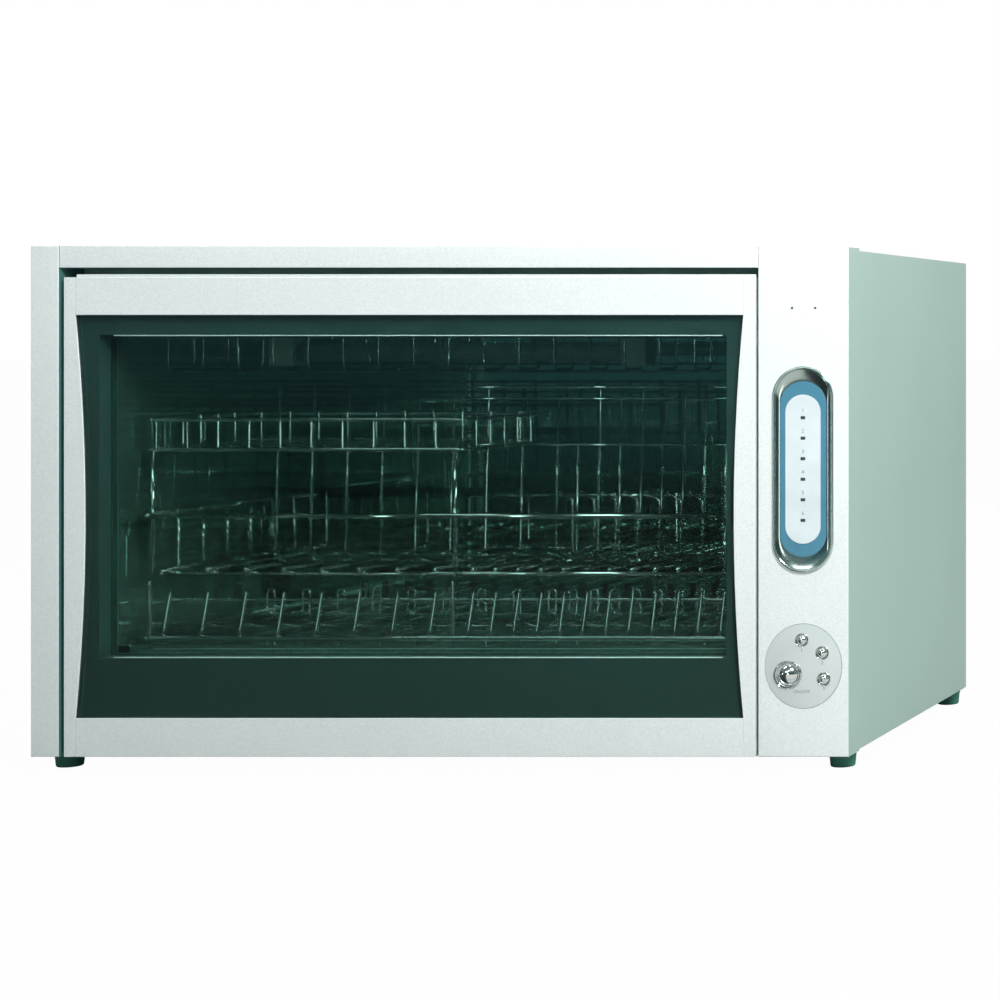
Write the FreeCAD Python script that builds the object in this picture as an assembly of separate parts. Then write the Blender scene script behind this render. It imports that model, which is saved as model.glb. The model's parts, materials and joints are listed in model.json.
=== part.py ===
"""Dish sterilizer cabinet: a countertop cabinet with a lift-up glass door, plate racks and a control column.

Frame: +X to the right seen from the front, +Y to the back, +Z up, millimetres.
The origin is at the bottom centre of the whole cabinet, on the surface that the feet stand on.
Every depth below is measured from the front plane of the cabinet towards the back.
"""
import FreeCAD, Part
import math
import os

Vector = FreeCAD.Vector

# ---------------------------------------------------------------- driving dimensions
# overall body
WIDTH = 640.0
BODY_HEIGHT = 400.0
DEPTH = 360.0
FOOT_HEIGHT = 12.0
FOOT_RADIUS = 12.0
FOOT_CHAMFER = 2.0
FOOT_SPIGOT_RADIUS = 3.5
FOOT_FRONT_DEPTH = 28.0
FOOT_REAR_INSET = 18.0

# front trim: left stile, top rail, control fascia
STILE_WIDTH = 22.0
TOP_RAIL_HEIGHT = 17.3
FASCIA_WIDTH = 70.8
FASCIA_TOP_DROP = 1.0
TRIM_DEPTH = 28.0
TRIM_SHEET = 1.2
TRIM_EDGE_RADIUS = 0.9
TRIM_SEAM = 0.15

# outer shell
SHELL_SHEET = 1.2
SHELL_SIDE_SETBACK = 1.0
SHELL_TOP_SETBACK = 3.0
SHELL_BOTTOM_SETBACK = 1.0
SHELL_FLANGE = 12.0
PANEL_SEAM = 0.2

# chamber
CHAMBER_LEFT_MARGIN = 48.0
CONTROL_COLUMN = 94.0
CHAMBER_FLOOR_RISE = 77.0
CHAMBER_ROOF_DROP = 70.0
CHAMBER_BACK_GAP = 28.0
LINER_SHEET = 0.8
JAMB_DEPTH = 32.0
JAMB_SHEET = 1.0
MOUTH_LIP = 2.0
JAMB_COLUMN_REACH = 21.0
SUPPORT_SHEET = 1.5
SUPPORT_FLANGE = 14.0
SUPPORT_INSET = 90.0

# door
DOOR_THICKNESS = 26.0
DOOR_SHEET = 1.5
DOOR_GAP_LEFT = 4.0
DOOR_GAP_RIGHT = 1.9
DOOR_GAP_TOP = 5.0
DOOR_TOP_LIP = 2.4
DOOR_LIP_SHEET = 1.5
DOOR_RAIL_TOP = 29.5
DOOR_RAIL_BOTTOM = 30.3
DOOR_STILE_LEFT_END = 8.8
DOOR_STILE_RIGHT_END = 9.7
DOOR_STILE_BULGE = 7.5
DOOR_FIT = 0.2
GLASS_THICKNESS = 4.0
INNER_SHEET = 1.2
WINDOW_LEFT_MARGIN = 25.3
WINDOW_RIGHT_MARGIN = 24.3
WINDOW_TOP_MARGIN = 45.1
WINDOW_BOTTOM_MARGIN = 76.8
COLLAR_SHEET = 1.2
INNER_GLASS_THICKNESS = 3.5
INNER_GLASS_LAP = 6.0
GASKET_WIDTH = 8.0
GASKET_OFFSET = 6.0
GASKET_GAP = 0.3
BACK_LIP = 1.0

# door hinge
PIVOT_DROP = 13.7
PIVOT_DEPTH = 13.0
PIN_RADIUS = 2.5
PIN_FIT = 0.05
PIN_HOLE_SPARE = 1.5
PIVOT_CAP_RADIUS = 6.0
PIVOT_CAP_RUNNING = 1.0
PIVOT_BLOCK_LENGTH = 8.0
PIVOT_BLOCK_SIDE = 11.0
EAR_THICKNESS = 2.5
EAR_SIDE = 20.0
EAR_OFFSET = 1.3
BRACKET_BASE = 14.0
BRACKET_SHEET = 1.5

# racks
WIRE_RADIUS = 1.5
RIM_RADIUS = 2.5
FRAME_RADIUS = 2.0
RAIL_RADIUS = 1.25
WELD_GAP = 0.05
SEAT_GAP = 0.3
RACK_SIDE_GAP = 6.5
RACK_FRONT = 15.0
RACK_REAR_GAP = 33.0
RACK_CORNER = 12.0
WIDE_PITCH = 30.5
WIDE_COUNT = 9
NARROW_PITCH = 18.4
FIRST_WIRE = 29.4
GROUP_GAP = 18.1
LAST_WIRE_GAP = 20.0
UPPER_RIM_RISE = 108.0
UPPER_BASKET_DROP = 47.0
FENCE_DEPTH = 176.0
FENCE_HEIGHT = 143.0
FENCE_LEAN = 8.0
FENCE_RAIL_STEP = 10.0
TINE_DEPTH = 126.0
TINE_COUNT = 7
TINE_HEIGHT = 48.0
TINE_TIP_SIDE = 11.0
TINE_TIP_RISE = 14.0
LOWER_RACK_RISE = 9.8
LOWER_TINE_HEIGHT = 29.0
LOWER_TINE_LEAN = 9.0
ARCH_DEPTH = 170.0
ARCH_HEIGHT = 20.0
ARCH_WIDTH = 6.5
ARCH_WIRE_RADIUS = 1.0
ARCH_BEND = 2.5
TINE_BEND = 8.0
LOWER_RAIL_RISE = 24.0
SIDE_WIRE_PITCH = 35.0
SIDE_WIRE_START = 17.0
REAR_WIRE_STEP = 3
LOWER_POST_GAP = 3.0

# runners
RUNNER_SHEET = 1.2
RUNNER_LEDGE = 8.0
RUNNER_FLANGE = 13.0
LOWER_RUNNER_LEDGE = 10.0

# lift-out basket
BASKET_WIDTH = 259.0
BASKET_SIDE_GAP = 10.0
BASKET_DEPTH = 157.0
BASKET_CORNER = 8.0
BASKET_RISE = 100.0
BASKET_HEIGHT = 24.0
BASKET_RIM_RADIUS = 1.75
BASKET_WIRE_RADIUS = 1.0
BASKET_PITCH = 25.0
POST_RADIUS = 2.0

# drip tray
TRAY_SHEET = 0.8
TRAY_HEIGHT = 6.2
TRAY_SIDE_GAP = 1.0
TRAY_REAR_GAP = 6.0

# lamp
LAMP_RADIUS = 7.5
LAMP_LENGTH = 300.0
LAMP_DEPTH = 58.0
LAMP_DROP = 14.0
HOLDER_LENGTH = 20.0
HOLDER_WALL = 3.5
GUARD_RADIUS = 1.0
GUARD_PITCH = 28.5
GUARD_HALF_SPAN = 18.0
GUARD_DROP = 27.5
GUARD_END_GAP = 18.0
GUARD_BEND = 5.0
GUARD_RAIL_INSET = 7.0

# heater
HEATER_RADIUS = 6.0
HEATER_LENGTH = 380.0
HEATER_RISE = 17.0
HEATER_BACK_GAP = 13.0
HEATER_END_LENGTH = 22.0
HEATER_END_SIDE = 18.0
SHIELD_SHEET = 1.0
SHIELD_HEIGHT = 36.0
SHIELD_BACK_GAP = 26.0
SHIELD_SLOT_PITCH = 20.0
SHIELD_SLOT_WIDTH = 6.0

# fan
FAN_SIDE = 92.0
FAN_THICKNESS = 25.0
FAN_BORE_RADIUS = 43.0
FAN_HUB_RADIUS = 17.0
FAN_BLADES = 7
FAN_BLADE_GAP = 1.5
FAN_BLADE_SHEET = 1.6
FAN_BLADE_ROOT = 2.0
FAN_BLADE_TWIST = 35.0
FAN_SPOKE_COUNT = 3
FAN_FIRST_SPOKE = 30.0
FAN_SHAFT_RADIUS = 2.0
FAN_SPOKE = 4.0
FAN_SPOKE_SHEET = 3.0
FAN_DEPTH = 230.0
FAN_RISE = 130.0
VENT_RADIUS = 3.0
VENT_PITCH = 12.0

# control panel
PANEL_CENTRE_SETBACK = 35.2
PILL_RISE = 225.2
PILL_BEZEL_WIDTH = 47.6
PILL_BEZEL_HEIGHT = 161.3
PILL_BEZEL_PROUD = 2.6
PILL_PLATE_WIDTH = 36.5
PILL_PLATE_HEIGHT = 137.8
PILL_PLATE_PROUD = 1.0
PILL_LABEL_WIDTH = 27.5
PILL_LABEL_HEIGHT = 116.7
PILL_LABEL_SHEET = 0.6
PILL_FIT = 0.15
PILL_SLOT_WIDTH = 10.0
PILL_SLOT_HEIGHT = 104.0
PILL_EDGE = 1.2
PILL_SLOPE = 3.2
LED_COUNT = 6
LED_PITCH = 16.05
LED_WIDTH = 3.5
LED_HEIGHT = 2.3
LED_PROUD = 0.2
LED_RISE_OFFSET = 0.2
BUZZER_HOLE_RADIUS = 1.0
BUZZER_HOLE_SPACING = 18.0
BUZZER_HOLE_RISE = 351.2
PAD_RISE = 71.1
PAD_WIDTH = 59.7
PAD_HEIGHT = 66.0
PAD_THICKNESS = 1.8
PAD_CROWN_RADIUS = 380.0
SMALL_BUTTON_RADIUS = 4.1
POWER_BUTTON_RADIUS = 9.2
RING_WIDTH_SMALL = 1.2
RING_WIDTH_POWER = 1.9
RING_PROUD = 0.2
RING_LIP = 0.4
RING_FIT = 0.05
BUTTON_FIT = 0.1
POWER_BUTTON_DOME = 6.0
SMALL_BUTTON_DOME = 2.9
SMALL_BUTTON_PROUD = 3.8
BUTTON_STEM_RADIUS = 2.0
BUTTON_STEM_GAP = 0.2
BUTTON_TRAVEL = 1.5
BUTTON_STOP_SHEET = 1.5
BUTTON_STOP_WIDTH = 1.5
POWER_BUTTON_PROUD = 5.0
SWITCH_SIDE = 6.0
SWITCH_HEIGHT = 3.5
BOARD_SHEET = 1.6
BOARD_DEPTH = 16.0
BOARD_WIDTH = 58.0
BOARD_MARGIN = 14.0
DISPLAY_BOARD_DEPTH = 9.0
DISPLAY_BOARD_WIDTH = 34.0
DISPLAY_BOARD_MARGIN = 6.0
STANDOFF_RADIUS = 2.5

# things inside the control column
BALLAST_SIZE = (34.0, 120.0, 26.0)
OZONE_SIZE = (46.0, 60.0, 38.0)
TERMINAL_SIZE = (22.0, 60.0, 18.0)
COLUMN_CLEAR = 4.0
OZONE_FRONT_GAP = 45.0
SWITCH_BODY = (8.0, 14.0, 20.0)
SWITCH_PLUNGER_RADIUS = 1.5

# back
GLAND_BORE_RADIUS = 4.0
GLAND_BODY_RADIUS = 8.0
GLAND_FLANGE_RADIUS = 11.0
GLAND_FLANGE_SHEET = 4.0
GLAND_PROUD = 10.0
GLAND_INNER = 6.0
GLAND_INSET = 50.0
GLAND_RISE = 46.0
SLOT_WIDTH = 34.0
SLOT_HEIGHT = 3.0
SLOT_PITCH = 9.0
SLOT_COUNT = 10
SLOT_RISE = 190.0
SCREW_HEAD_RADIUS = 3.5
SCREW_HEAD_HEIGHT = 2.0
SCREW_RADIUS = 1.8
SCREW_LENGTH = 6.0
SCREW_FIT = 0.15
SCREW_INSET = 6.0

# ---------------------------------------------------------------- derived places
FRONT_Y = -(DEPTH + GLAND_PROUD - POWER_BUTTON_PROUD) / 2.0
HALF = WIDTH / 2.0
BASE_Z = FOOT_HEIGHT
TOP_Z = FOOT_HEIGHT + BODY_HEIGHT

STILE_IN_X = -HALF + STILE_WIDTH
FASCIA_X = HALF - FASCIA_WIDTH
FASCIA_TOP_Z = TOP_Z - FASCIA_TOP_DROP
RAIL_Z = TOP_Z - TOP_RAIL_HEIGHT

SHELL_X = HALF - SHELL_SIDE_SETBACK
SHELL_TOP_Z = TOP_Z - SHELL_TOP_SETBACK
SHELL_BOTTOM_Z = BASE_Z + SHELL_BOTTOM_SETBACK
SHELL_FRONT = TRIM_DEPTH + PANEL_SEAM

CH_X0 = -HALF + CHAMBER_LEFT_MARGIN
CH_X1 = HALF - CONTROL_COLUMN
CH_Z0 = BASE_Z + CHAMBER_FLOOR_RISE
CH_Z1 = TOP_Z - CHAMBER_ROOF_DROP
CH_D0 = JAMB_DEPTH + JAMB_SHEET
CH_D1 = DEPTH - CHAMBER_BACK_GAP - LINER_SHEET

DOOR_X0 = STILE_IN_X + DOOR_GAP_LEFT
DOOR_X1 = FASCIA_X - DOOR_GAP_RIGHT
DOOR_Z0 = BASE_Z
DOOR_LIP_Z = RAIL_Z - DOOR_GAP_TOP
DOOR_Z1 = DOOR_LIP_Z - DOOR_TOP_LIP
GLASS_Z0 = DOOR_Z0 + DOOR_RAIL_BOTTOM
GLASS_Z1 = DOOR_Z1 - DOOR_RAIL_TOP
WIN_X0 = DOOR_X0 + WINDOW_LEFT_MARGIN
WIN_X1 = DOOR_X1 - WINDOW_RIGHT_MARGIN
WIN_Z0 = DOOR_Z0 + WINDOW_BOTTOM_MARGIN
WIN_Z1 = DOOR_Z1 - WINDOW_TOP_MARGIN
PIVOT_Z = DOOR_LIP_Z - PIVOT_DROP

GLASS_D0 = DOOR_SHEET + DOOR_FIT
GLASS_D1 = GLASS_D0 + GLASS_THICKNESS
INNER_D0 = GLASS_D1 + DOOR_FIT
INNER_D1 = INNER_D0 + INNER_SHEET
BACK_D1 = DOOR_THICKNESS
BACK_D0 = BACK_D1 - DOOR_SHEET
PANE_D1 = BACK_D0 - DOOR_FIT
PANE_D0 = PANE_D1 - INNER_GLASS_THICKNESS
COLLAR_D1 = PANE_D0 - DOOR_FIT

PANEL_X = HALF - PANEL_CENTRE_SETBACK
PILL_Z = BASE_Z + PILL_RISE
PAD_Z = BASE_Z + PAD_RISE

# racks, worked out from the chamber
RACK_X0 = CH_X0 + RACK_SIDE_GAP
RACK_X1 = CH_X1 - RACK_SIDE_GAP
RACK_D0 = CH_D0 + RACK_FRONT
RACK_D1 = CH_D1 - RACK_REAR_GAP
RIM_Z = CH_Z0 + UPPER_RIM_RISE
NEST = RIM_RADIUS + 2 * WIRE_RADIUS + FRAME_RADIUS + 2 * WELD_GAP
SIDE_WIRE_INSET = RIM_RADIUS + WELD_GAP + WIRE_RADIUS
POST_INSET = RIM_RADIUS + WELD_GAP + POST_RADIUS
FRONT_NEST = POST_INSET + POST_RADIUS + WELD_GAP + FRAME_RADIUS
CRATE_Z = RIM_Z - UPPER_BASKET_DROP
CRATE_X0 = RACK_X0 + NEST
CRATE_X1 = RACK_X1 - NEST
CRATE_D0 = RACK_D0 + FRONT_NEST
CRATE_D1 = RACK_D1 - NEST
UPPER_FLOOR_Z = CRATE_Z + FRAME_RADIUS + WELD_GAP + WIRE_RADIUS
STAND_Z = UPPER_FLOOR_Z + WIRE_RADIUS + WELD_GAP
LOWER_Z = CH_Z0 + LOWER_RACK_RISE
LOWER_FLOOR_Z = LOWER_Z + RIM_RADIUS + WELD_GAP + WIRE_RADIUS
BASKET_X0 = CH_X0 + BASKET_SIDE_GAP
BASKET_X1 = BASKET_X0 + BASKET_WIDTH
BASKET_D0 = RACK_D0 + POST_INSET
BASKET_D1 = BASKET_D0 + BASKET_DEPTH
BASKET_Z0 = CRATE_Z + BASKET_RISE
BASKET_Z1 = BASKET_Z0 + BASKET_HEIGHT
POST_XS = (BASKET_X0 + BASKET_CORNER, BASKET_X1 - BASKET_CORNER)
LAMP_X = (CH_X0 + CH_X1) / 2.0
FAN_X0 = CH_X1 + LINER_SHEET
FAN_D = FAN_DEPTH
FAN_Z = CH_Z0 + FAN_RISE

# small buttons and the power button, as offsets from the centre of the button pad
SMALL_BUTTONS = (
    ("light_button", -0.9, 20.6),
    ("dry_button", 15.1, 10.6),
    ("steam_button", 16.2, -9.9),
)
POWER_BUTTON = ("power_button", -11.9, -6.5)


# ---------------------------------------------------------------- small helpers
def point(x, depth, z):
    """A point given by x, depth behind the front plane, and z."""
    return Vector(x, FRONT_Y + depth, z)


def block(x0, x1, d0, d1, z0, z1):
    """An upright box between two x, two depths and two heights."""
    return Part.makeBox(x1 - x0, d1 - d0, z1 - z0, point(x0, d0, z0))


def rod(start, end, radius):
    """A round bar between two points."""
    axis = end - start
    return Part.makeCylinder(radius, axis.Length, start, axis)


def across(x0, x1, depth, z, radius):
    """A level round bar from left to right."""
    return rod(point(x0, depth, z), point(x1, depth, z), radius)


def inwards(x, d0, d1, z, radius):
    """A level round bar from front to back."""
    return rod(point(x, d0, z), point(x, d1, z), radius)


def upright(x, depth, z0, z1, radius):
    """A vertical round bar."""
    return rod(point(x, depth, z0), point(x, depth, z1), radius)


def drill(shape, centre, axis, radius, length):
    """The shape with a round hole, centred on a point, cut along an axis."""
    unit = Vector(axis).normalize()
    tool = Part.makeCylinder(radius, length, centre - unit * (length / 2.0), unit)
    return shape.cut(tool)


def stadium_outline(x, z, width, height, depth):
    """An upright outline with two straight sides, round at top and bottom."""
    radius = width / 2.0
    top = z + height / 2.0 - radius
    low = z - height / 2.0 + radius
    top_left = point(x - radius, depth, top)
    top_right = point(x + radius, depth, top)
    low_right = point(x + radius, depth, low)
    low_left = point(x - radius, depth, low)
    curves = [
        Part.Arc(top_left, point(x, depth, top + radius), top_right),
        Part.LineSegment(top_right, low_right),
        Part.Arc(low_right, point(x, depth, low - radius), low_left),
        Part.LineSegment(low_left, top_left),
    ]
    return Part.Wire([curve.toShape() for curve in curves])


def stadium(x, z, width, height, d0, d1):
    """An upright stadium-shaped plate."""
    return Part.Face(stadium_outline(x, z, width, height, d0)).extrude(Vector(0, d1 - d0, 0))


def oval(x, z, width, height, d0, d1):
    """An upright oval plate: an ellipse, extruded towards the back."""
    long_half = max(width, height) / 2.0
    short_half = min(width, height) / 2.0
    ellipse = Part.Ellipse(point(x, d0, z), long_half, short_half)
    long_axis = Vector(0, 0, 1) if height >= width else Vector(1, 0, 0)
    ellipse.Axis = Vector(0, 1, 0)
    ellipse.XAxis = long_axis
    return Part.Face(Part.Wire(ellipse.toShape())).extrude(Vector(0, d1 - d0, 0))


def bent_wire(points, radius, bend):
    """A round wire through the points, each corner turned by an arc of the bend radius."""
    edges = []
    last = points[0]
    for before, corner, after in zip(points, points[1:], points[2:]):
        into = (corner - before).normalize()
        out = (after - corner).normalize()
        half_turn = into.getAngle(out) / 2.0
        setback = bend * math.tan(half_turn)
        start = corner - into * setback
        end = corner + out * setback
        middle_way = (out - into).normalize()
        middle = corner + middle_way * (bend / math.cos(half_turn) - bend)
        edges.append(Part.LineSegment(last, start).toShape())
        edges.append(Part.Arc(start, middle, end).toShape())
        last = end
    edges.append(Part.LineSegment(last, points[-1]).toShape())
    first_way = (points[1] - points[0]).normalize()
    circle = Part.makeCircle(radius, points[0], first_way)
    sweep = Part.Wire(edges).makePipeShell([Part.Wire(circle)], True, False)
    return sweep


def rim_loop(x0, x1, d0, d1, z, radius, corner):
    """A level wire loop: four straight bars and four corner arcs, butted end to end."""
    bars = [
        across(x0 + corner, x1 - corner, d0, z, radius),
        across(x0 + corner, x1 - corner, d1, z, radius),
        inwards(x0, d0 + corner, d1 - corner, z, radius),
        inwards(x1, d0 + corner, d1 - corner, z, radius),
    ]
    corners = (
        (x0 + corner, d0 + corner, 180.0),
        (x1 - corner, d0 + corner, 270.0),
        (x1 - corner, d1 - corner, 0.0),
        (x0 + corner, d1 - corner, 90.0),
    )
    for x, depth, turn in corners:
        arc = Part.makeTorus(corner, radius, Vector(0, 0, 0), Vector(0, 0, 1), -180, 180, 90)
        arc.rotate(Vector(0, 0, 0), Vector(0, 0, 1), turn)
        arc.translate(point(x, depth, z))
        bars.append(arc)
    return bars


def wire_places():
    """X of every rack wire: a wide group on the left, then a narrow group up to the right side."""
    places = [CH_X0 + FIRST_WIRE + i * WIDE_PITCH for i in range(WIDE_COUNT)]
    x = places[-1] + GROUP_GAP
    while x <= CH_X1 - LAST_WIRE_GAP:
        places.append(x)
        x += NARROW_PITCH
    return places


def export(name, pieces):
    """Writes one sub-part: a single solid, or a group of separate solids."""
    solids = []
    for piece in pieces:
        solids.extend(piece.Solids)
    shape = solids[0] if len(solids) == 1 else Part.makeCompound(solids)
    shape.exportStep("parts/" + name + ".step")
    print("%-22s %3d solids %12.1f mm3" % (name, len(solids), sum(s.Volume for s in solids)))


# ---------------------------------------------------------------- front trim
def left_stile():
    """Folded post at the left of the front: face, outer wall, inner wall, and top and bottom ends."""
    body = block(-HALF, STILE_IN_X, 0, JAMB_DEPTH, BASE_Z, TOP_Z)
    step = block(-HALF - 1, -HALF + TRIM_SHEET + SHELL_SHEET, TRIM_DEPTH, JAMB_DEPTH + 1,
                 BASE_Z - 1, TOP_Z + 1)
    top_step = block(-HALF - 1, STILE_IN_X + 1, TRIM_DEPTH, JAMB_DEPTH + 1,
                     SHELL_TOP_Z - SHELL_SHEET - PANEL_SEAM, TOP_Z + 1)
    inside = block(-HALF + TRIM_SHEET, STILE_IN_X - TRIM_SHEET, TRIM_SHEET, JAMB_DEPTH + 1,
                   BASE_Z + TRIM_SHEET, TOP_Z - TRIM_SHEET)
    body = body.makeFillet(TRIM_EDGE_RADIUS, front_edges(body))
    body = body.cut(step).cut(top_step).cut(inside)
    pivot = point(STILE_IN_X, PIVOT_DEPTH, PIVOT_Z)
    return drill(body, pivot, (1, 0, 0), PIN_RADIUS + PIN_HOLE_SPARE, STILE_WIDTH)


def front_edges(body):
    """The edges of a box that lie on the front plane."""
    return [e for e in body.Edges if all(abs(v.Point.y - body.BoundBox.YMin) < 1e-6 for v in e.Vertexes)]


def top_rail():
    """Folded rail over the door: face, top wall and a lower wall that runs back to the chamber frame."""
    x0 = STILE_IN_X + TRIM_SEAM
    x1 = FASCIA_X - TRIM_SEAM
    face = block(x0, x1, 0, JAMB_DEPTH, RAIL_Z, TOP_Z)
    face = face.makeFillet(TRIM_EDGE_RADIUS, front_edges(face))
    inside = block(x0 - 1, x1 + 1, TRIM_SHEET, JAMB_DEPTH + 1, RAIL_Z + TRIM_SHEET, TOP_Z - TRIM_SHEET)
    step = block(x0 - 1, x1 + 1, TRIM_DEPTH, JAMB_DEPTH + 1,
                 SHELL_TOP_Z - SHELL_SHEET - PANEL_SEAM, TOP_Z + 1)
    return face.cut(inside).cut(step)


def control_fascia():
    """Folded control panel at the right of the front, with its openings."""
    body = block(FASCIA_X, HALF, 0, JAMB_DEPTH, BASE_Z, FASCIA_TOP_Z)
    body = body.makeFillet(TRIM_EDGE_RADIUS, front_edges(body))
    inside = block(FASCIA_X + TRIM_SHEET, HALF - TRIM_SHEET, TRIM_SHEET, JAMB_DEPTH + 1,
                   BASE_Z + TRIM_SHEET, FASCIA_TOP_Z - TRIM_SHEET)
    step = block(HALF - TRIM_SHEET - SHELL_SHEET, HALF + 1, TRIM_DEPTH, JAMB_DEPTH + 1, BASE_Z - 1, TOP_Z + 1)
    top_step = block(FASCIA_X - 1, HALF + 1, TRIM_DEPTH, JAMB_DEPTH + 1,
                     SHELL_TOP_Z - SHELL_SHEET - PANEL_SEAM, TOP_Z + 1)
    body = body.cut(inside).cut(step).cut(top_step)
    pivot = point(FASCIA_X, PIVOT_DEPTH, PIVOT_Z)
    body = drill(body, pivot, (1, 0, 0), PIN_RADIUS + PIN_HOLE_SPARE, STILE_WIDTH)
    body = body.cut(stadium(PANEL_X, PILL_Z, PILL_SLOT_WIDTH, PILL_SLOT_HEIGHT, -1, TRIM_SHEET + 1))
    for side in (-1, 1):
        hole = point(PANEL_X + side * BUZZER_HOLE_SPACING / 2.0, 0, BASE_Z + BUZZER_HOLE_RISE)
        body = drill(body, hole, (0, 1, 0), BUZZER_HOLE_RADIUS, 4 * TRIM_SHEET)
    for _name, x, z, radius, _ring in button_list():
        body = drill(body, point(x, 0, z), (0, 1, 0), radius + BUTTON_FIT, 4 * TRIM_SHEET)
    return body


# ---------------------------------------------------------------- shell
def side_panel(side):
    """Flat side sheet with a flange folded in at the back."""
    outer = side * SHELL_X
    inner = side * (SHELL_X - SHELL_SHEET)
    flange = side * (SHELL_X - SHELL_FLANGE)
    rear = DEPTH - SHELL_SHEET
    sheet = block(min(outer, inner), max(outer, inner), SHELL_FRONT, rear, SHELL_BOTTOM_Z, SHELL_TOP_Z)
    fold = block(min(outer, flange), max(outer, flange), rear - SHELL_SHEET, rear,
                 SHELL_BOTTOM_Z + SHELL_SHEET + PANEL_SEAM, SHELL_TOP_Z - SHELL_SHEET - PANEL_SEAM)
    panel = sheet.fuse(fold).removeSplitter()
    for z in screw_heights():
        panel = drill(panel, point(side * (SHELL_X - SCREW_INSET), rear, z), (0, 1, 0),
                      SCREW_RADIUS + SCREW_FIT, 4 * SHELL_SHEET)
    return panel


def top_panel():
    """Flat top sheet between the two side sheets."""
    half = SHELL_X - SHELL_SHEET - PANEL_SEAM
    return block(-half, half, SHELL_FRONT, DEPTH - SHELL_SHEET, SHELL_TOP_Z - SHELL_SHEET, SHELL_TOP_Z)


def base_pan():
    """Bottom sheet with its two long edges folded up inside the side sheets."""
    half = SHELL_X - SHELL_SHEET - PANEL_SEAM
    front = CH_D0
    rear = DEPTH - SHELL_SHEET
    low = BASE_Z
    pan = block(-half, half, front, rear, low, low + SHELL_SHEET)
    for side in (-1, 1):
        inner = side * (half - SHELL_SHEET)
        outer = side * half
        wall = block(min(inner, outer), max(inner, outer), front, rear - 2 * SHELL_SHEET,
                     low, low + SHELL_FLANGE)
        pan = pan.fuse(wall)
    pan = pan.removeSplitter()
    for x, depth in foot_places():
        pan = drill(pan, point(x, depth, low), (0, 0, 1), FOOT_SPIGOT_RADIUS, 4 * SHELL_SHEET)
    return pan


def screw_heights():
    """Heights of the rear panel's screws."""
    low = SHELL_BOTTOM_Z + SHELL_FLANGE + SCREW_INSET
    high = SHELL_TOP_Z - SHELL_FLANGE
    return [low, (low + high) / 2.0, high]


def screw_places():
    """X and z of the rear panel's screws, all through the side sheets' flanges."""
    return [(side * (SHELL_X - SCREW_INSET), z) for side in (-1, 1) for z in screw_heights()]


def gland_place():
    """X and z of the cable gland in the rear panel."""
    return HALF - GLAND_INSET, BASE_Z + GLAND_RISE


def rear_panel():
    """Rear sheet with vent slots behind the control column, a gland hole and screw holes."""
    rear = DEPTH - SHELL_SHEET
    panel = block(-SHELL_X, SHELL_X, rear, DEPTH, SHELL_BOTTOM_Z, SHELL_TOP_Z)
    slot_x = (CH_X1 + SHELL_X - SLOT_WIDTH) / 2.0
    for i in range(SLOT_COUNT):
        z = BASE_Z + SLOT_RISE + i * SLOT_PITCH
        panel = panel.cut(block(slot_x, slot_x + SLOT_WIDTH, rear - 1, DEPTH + 1, z, z + SLOT_HEIGHT))
    gland_x, gland_z = gland_place()
    panel = drill(panel, point(gland_x, rear, gland_z), (0, 1, 0), GLAND_BODY_RADIUS, 4 * SHELL_SHEET)
    for x, z in screw_places():
        panel = drill(panel, point(x, rear, z), (0, 1, 0), SCREW_RADIUS + SCREW_FIT, 4 * SHELL_SHEET)
    return panel


def rear_screws():
    """Pan-head screws that hold the rear panel."""
    screws = []
    for x, z in screw_places():
        head = inwards(x, DEPTH, DEPTH + SCREW_HEAD_HEIGHT, z, SCREW_HEAD_RADIUS)
        shank = inwards(x, DEPTH - SCREW_LENGTH, DEPTH, z, SCREW_RADIUS)
        screws.append(head.fuse(shank).removeSplitter())
    return screws


def cable_gland():
    """Round gland in the rear panel, with a through bore for the mains lead."""
    x, z = gland_place()
    inner = DEPTH - SHELL_SHEET - GLAND_INNER
    body = inwards(x, inner, DEPTH + GLAND_PROUD, z, GLAND_BODY_RADIUS)
    flange = inwards(x, DEPTH, DEPTH + GLAND_FLANGE_SHEET, z, GLAND_FLANGE_RADIUS)
    gland = body.fuse(flange).removeSplitter()
    return drill(gland, point(x, DEPTH, z), (0, 1, 0), GLAND_BORE_RADIUS, 6 * GLAND_PROUD)


def foot_places():
    """X and depth of the four feet."""
    x = SHELL_X - FOOT_RADIUS
    return [(side * x, depth) for side in (-1, 1) for depth in (FOOT_FRONT_DEPTH, DEPTH - FOOT_REAR_INSET)]


def feet():
    """Four rubber feet; the rear pair has spigots through the base pan."""
    result = []
    for x, depth in foot_places():
        foot = upright(x, depth, 0, FOOT_HEIGHT, FOOT_RADIUS)
        ring = [e for e in foot.Edges if e.BoundBox.ZMax < 1e-6 and len(e.Vertexes) == 1]
        foot = foot.makeChamfer(FOOT_CHAMFER, ring)
        if depth > CH_D0 + FOOT_SPIGOT_RADIUS:
            spigot = upright(x, depth, FOOT_HEIGHT, FOOT_HEIGHT + 3 * SHELL_SHEET, FOOT_SPIGOT_RADIUS)
            foot = foot.fuse(spigot).removeSplitter()
        result.append(foot)
    return result


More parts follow.
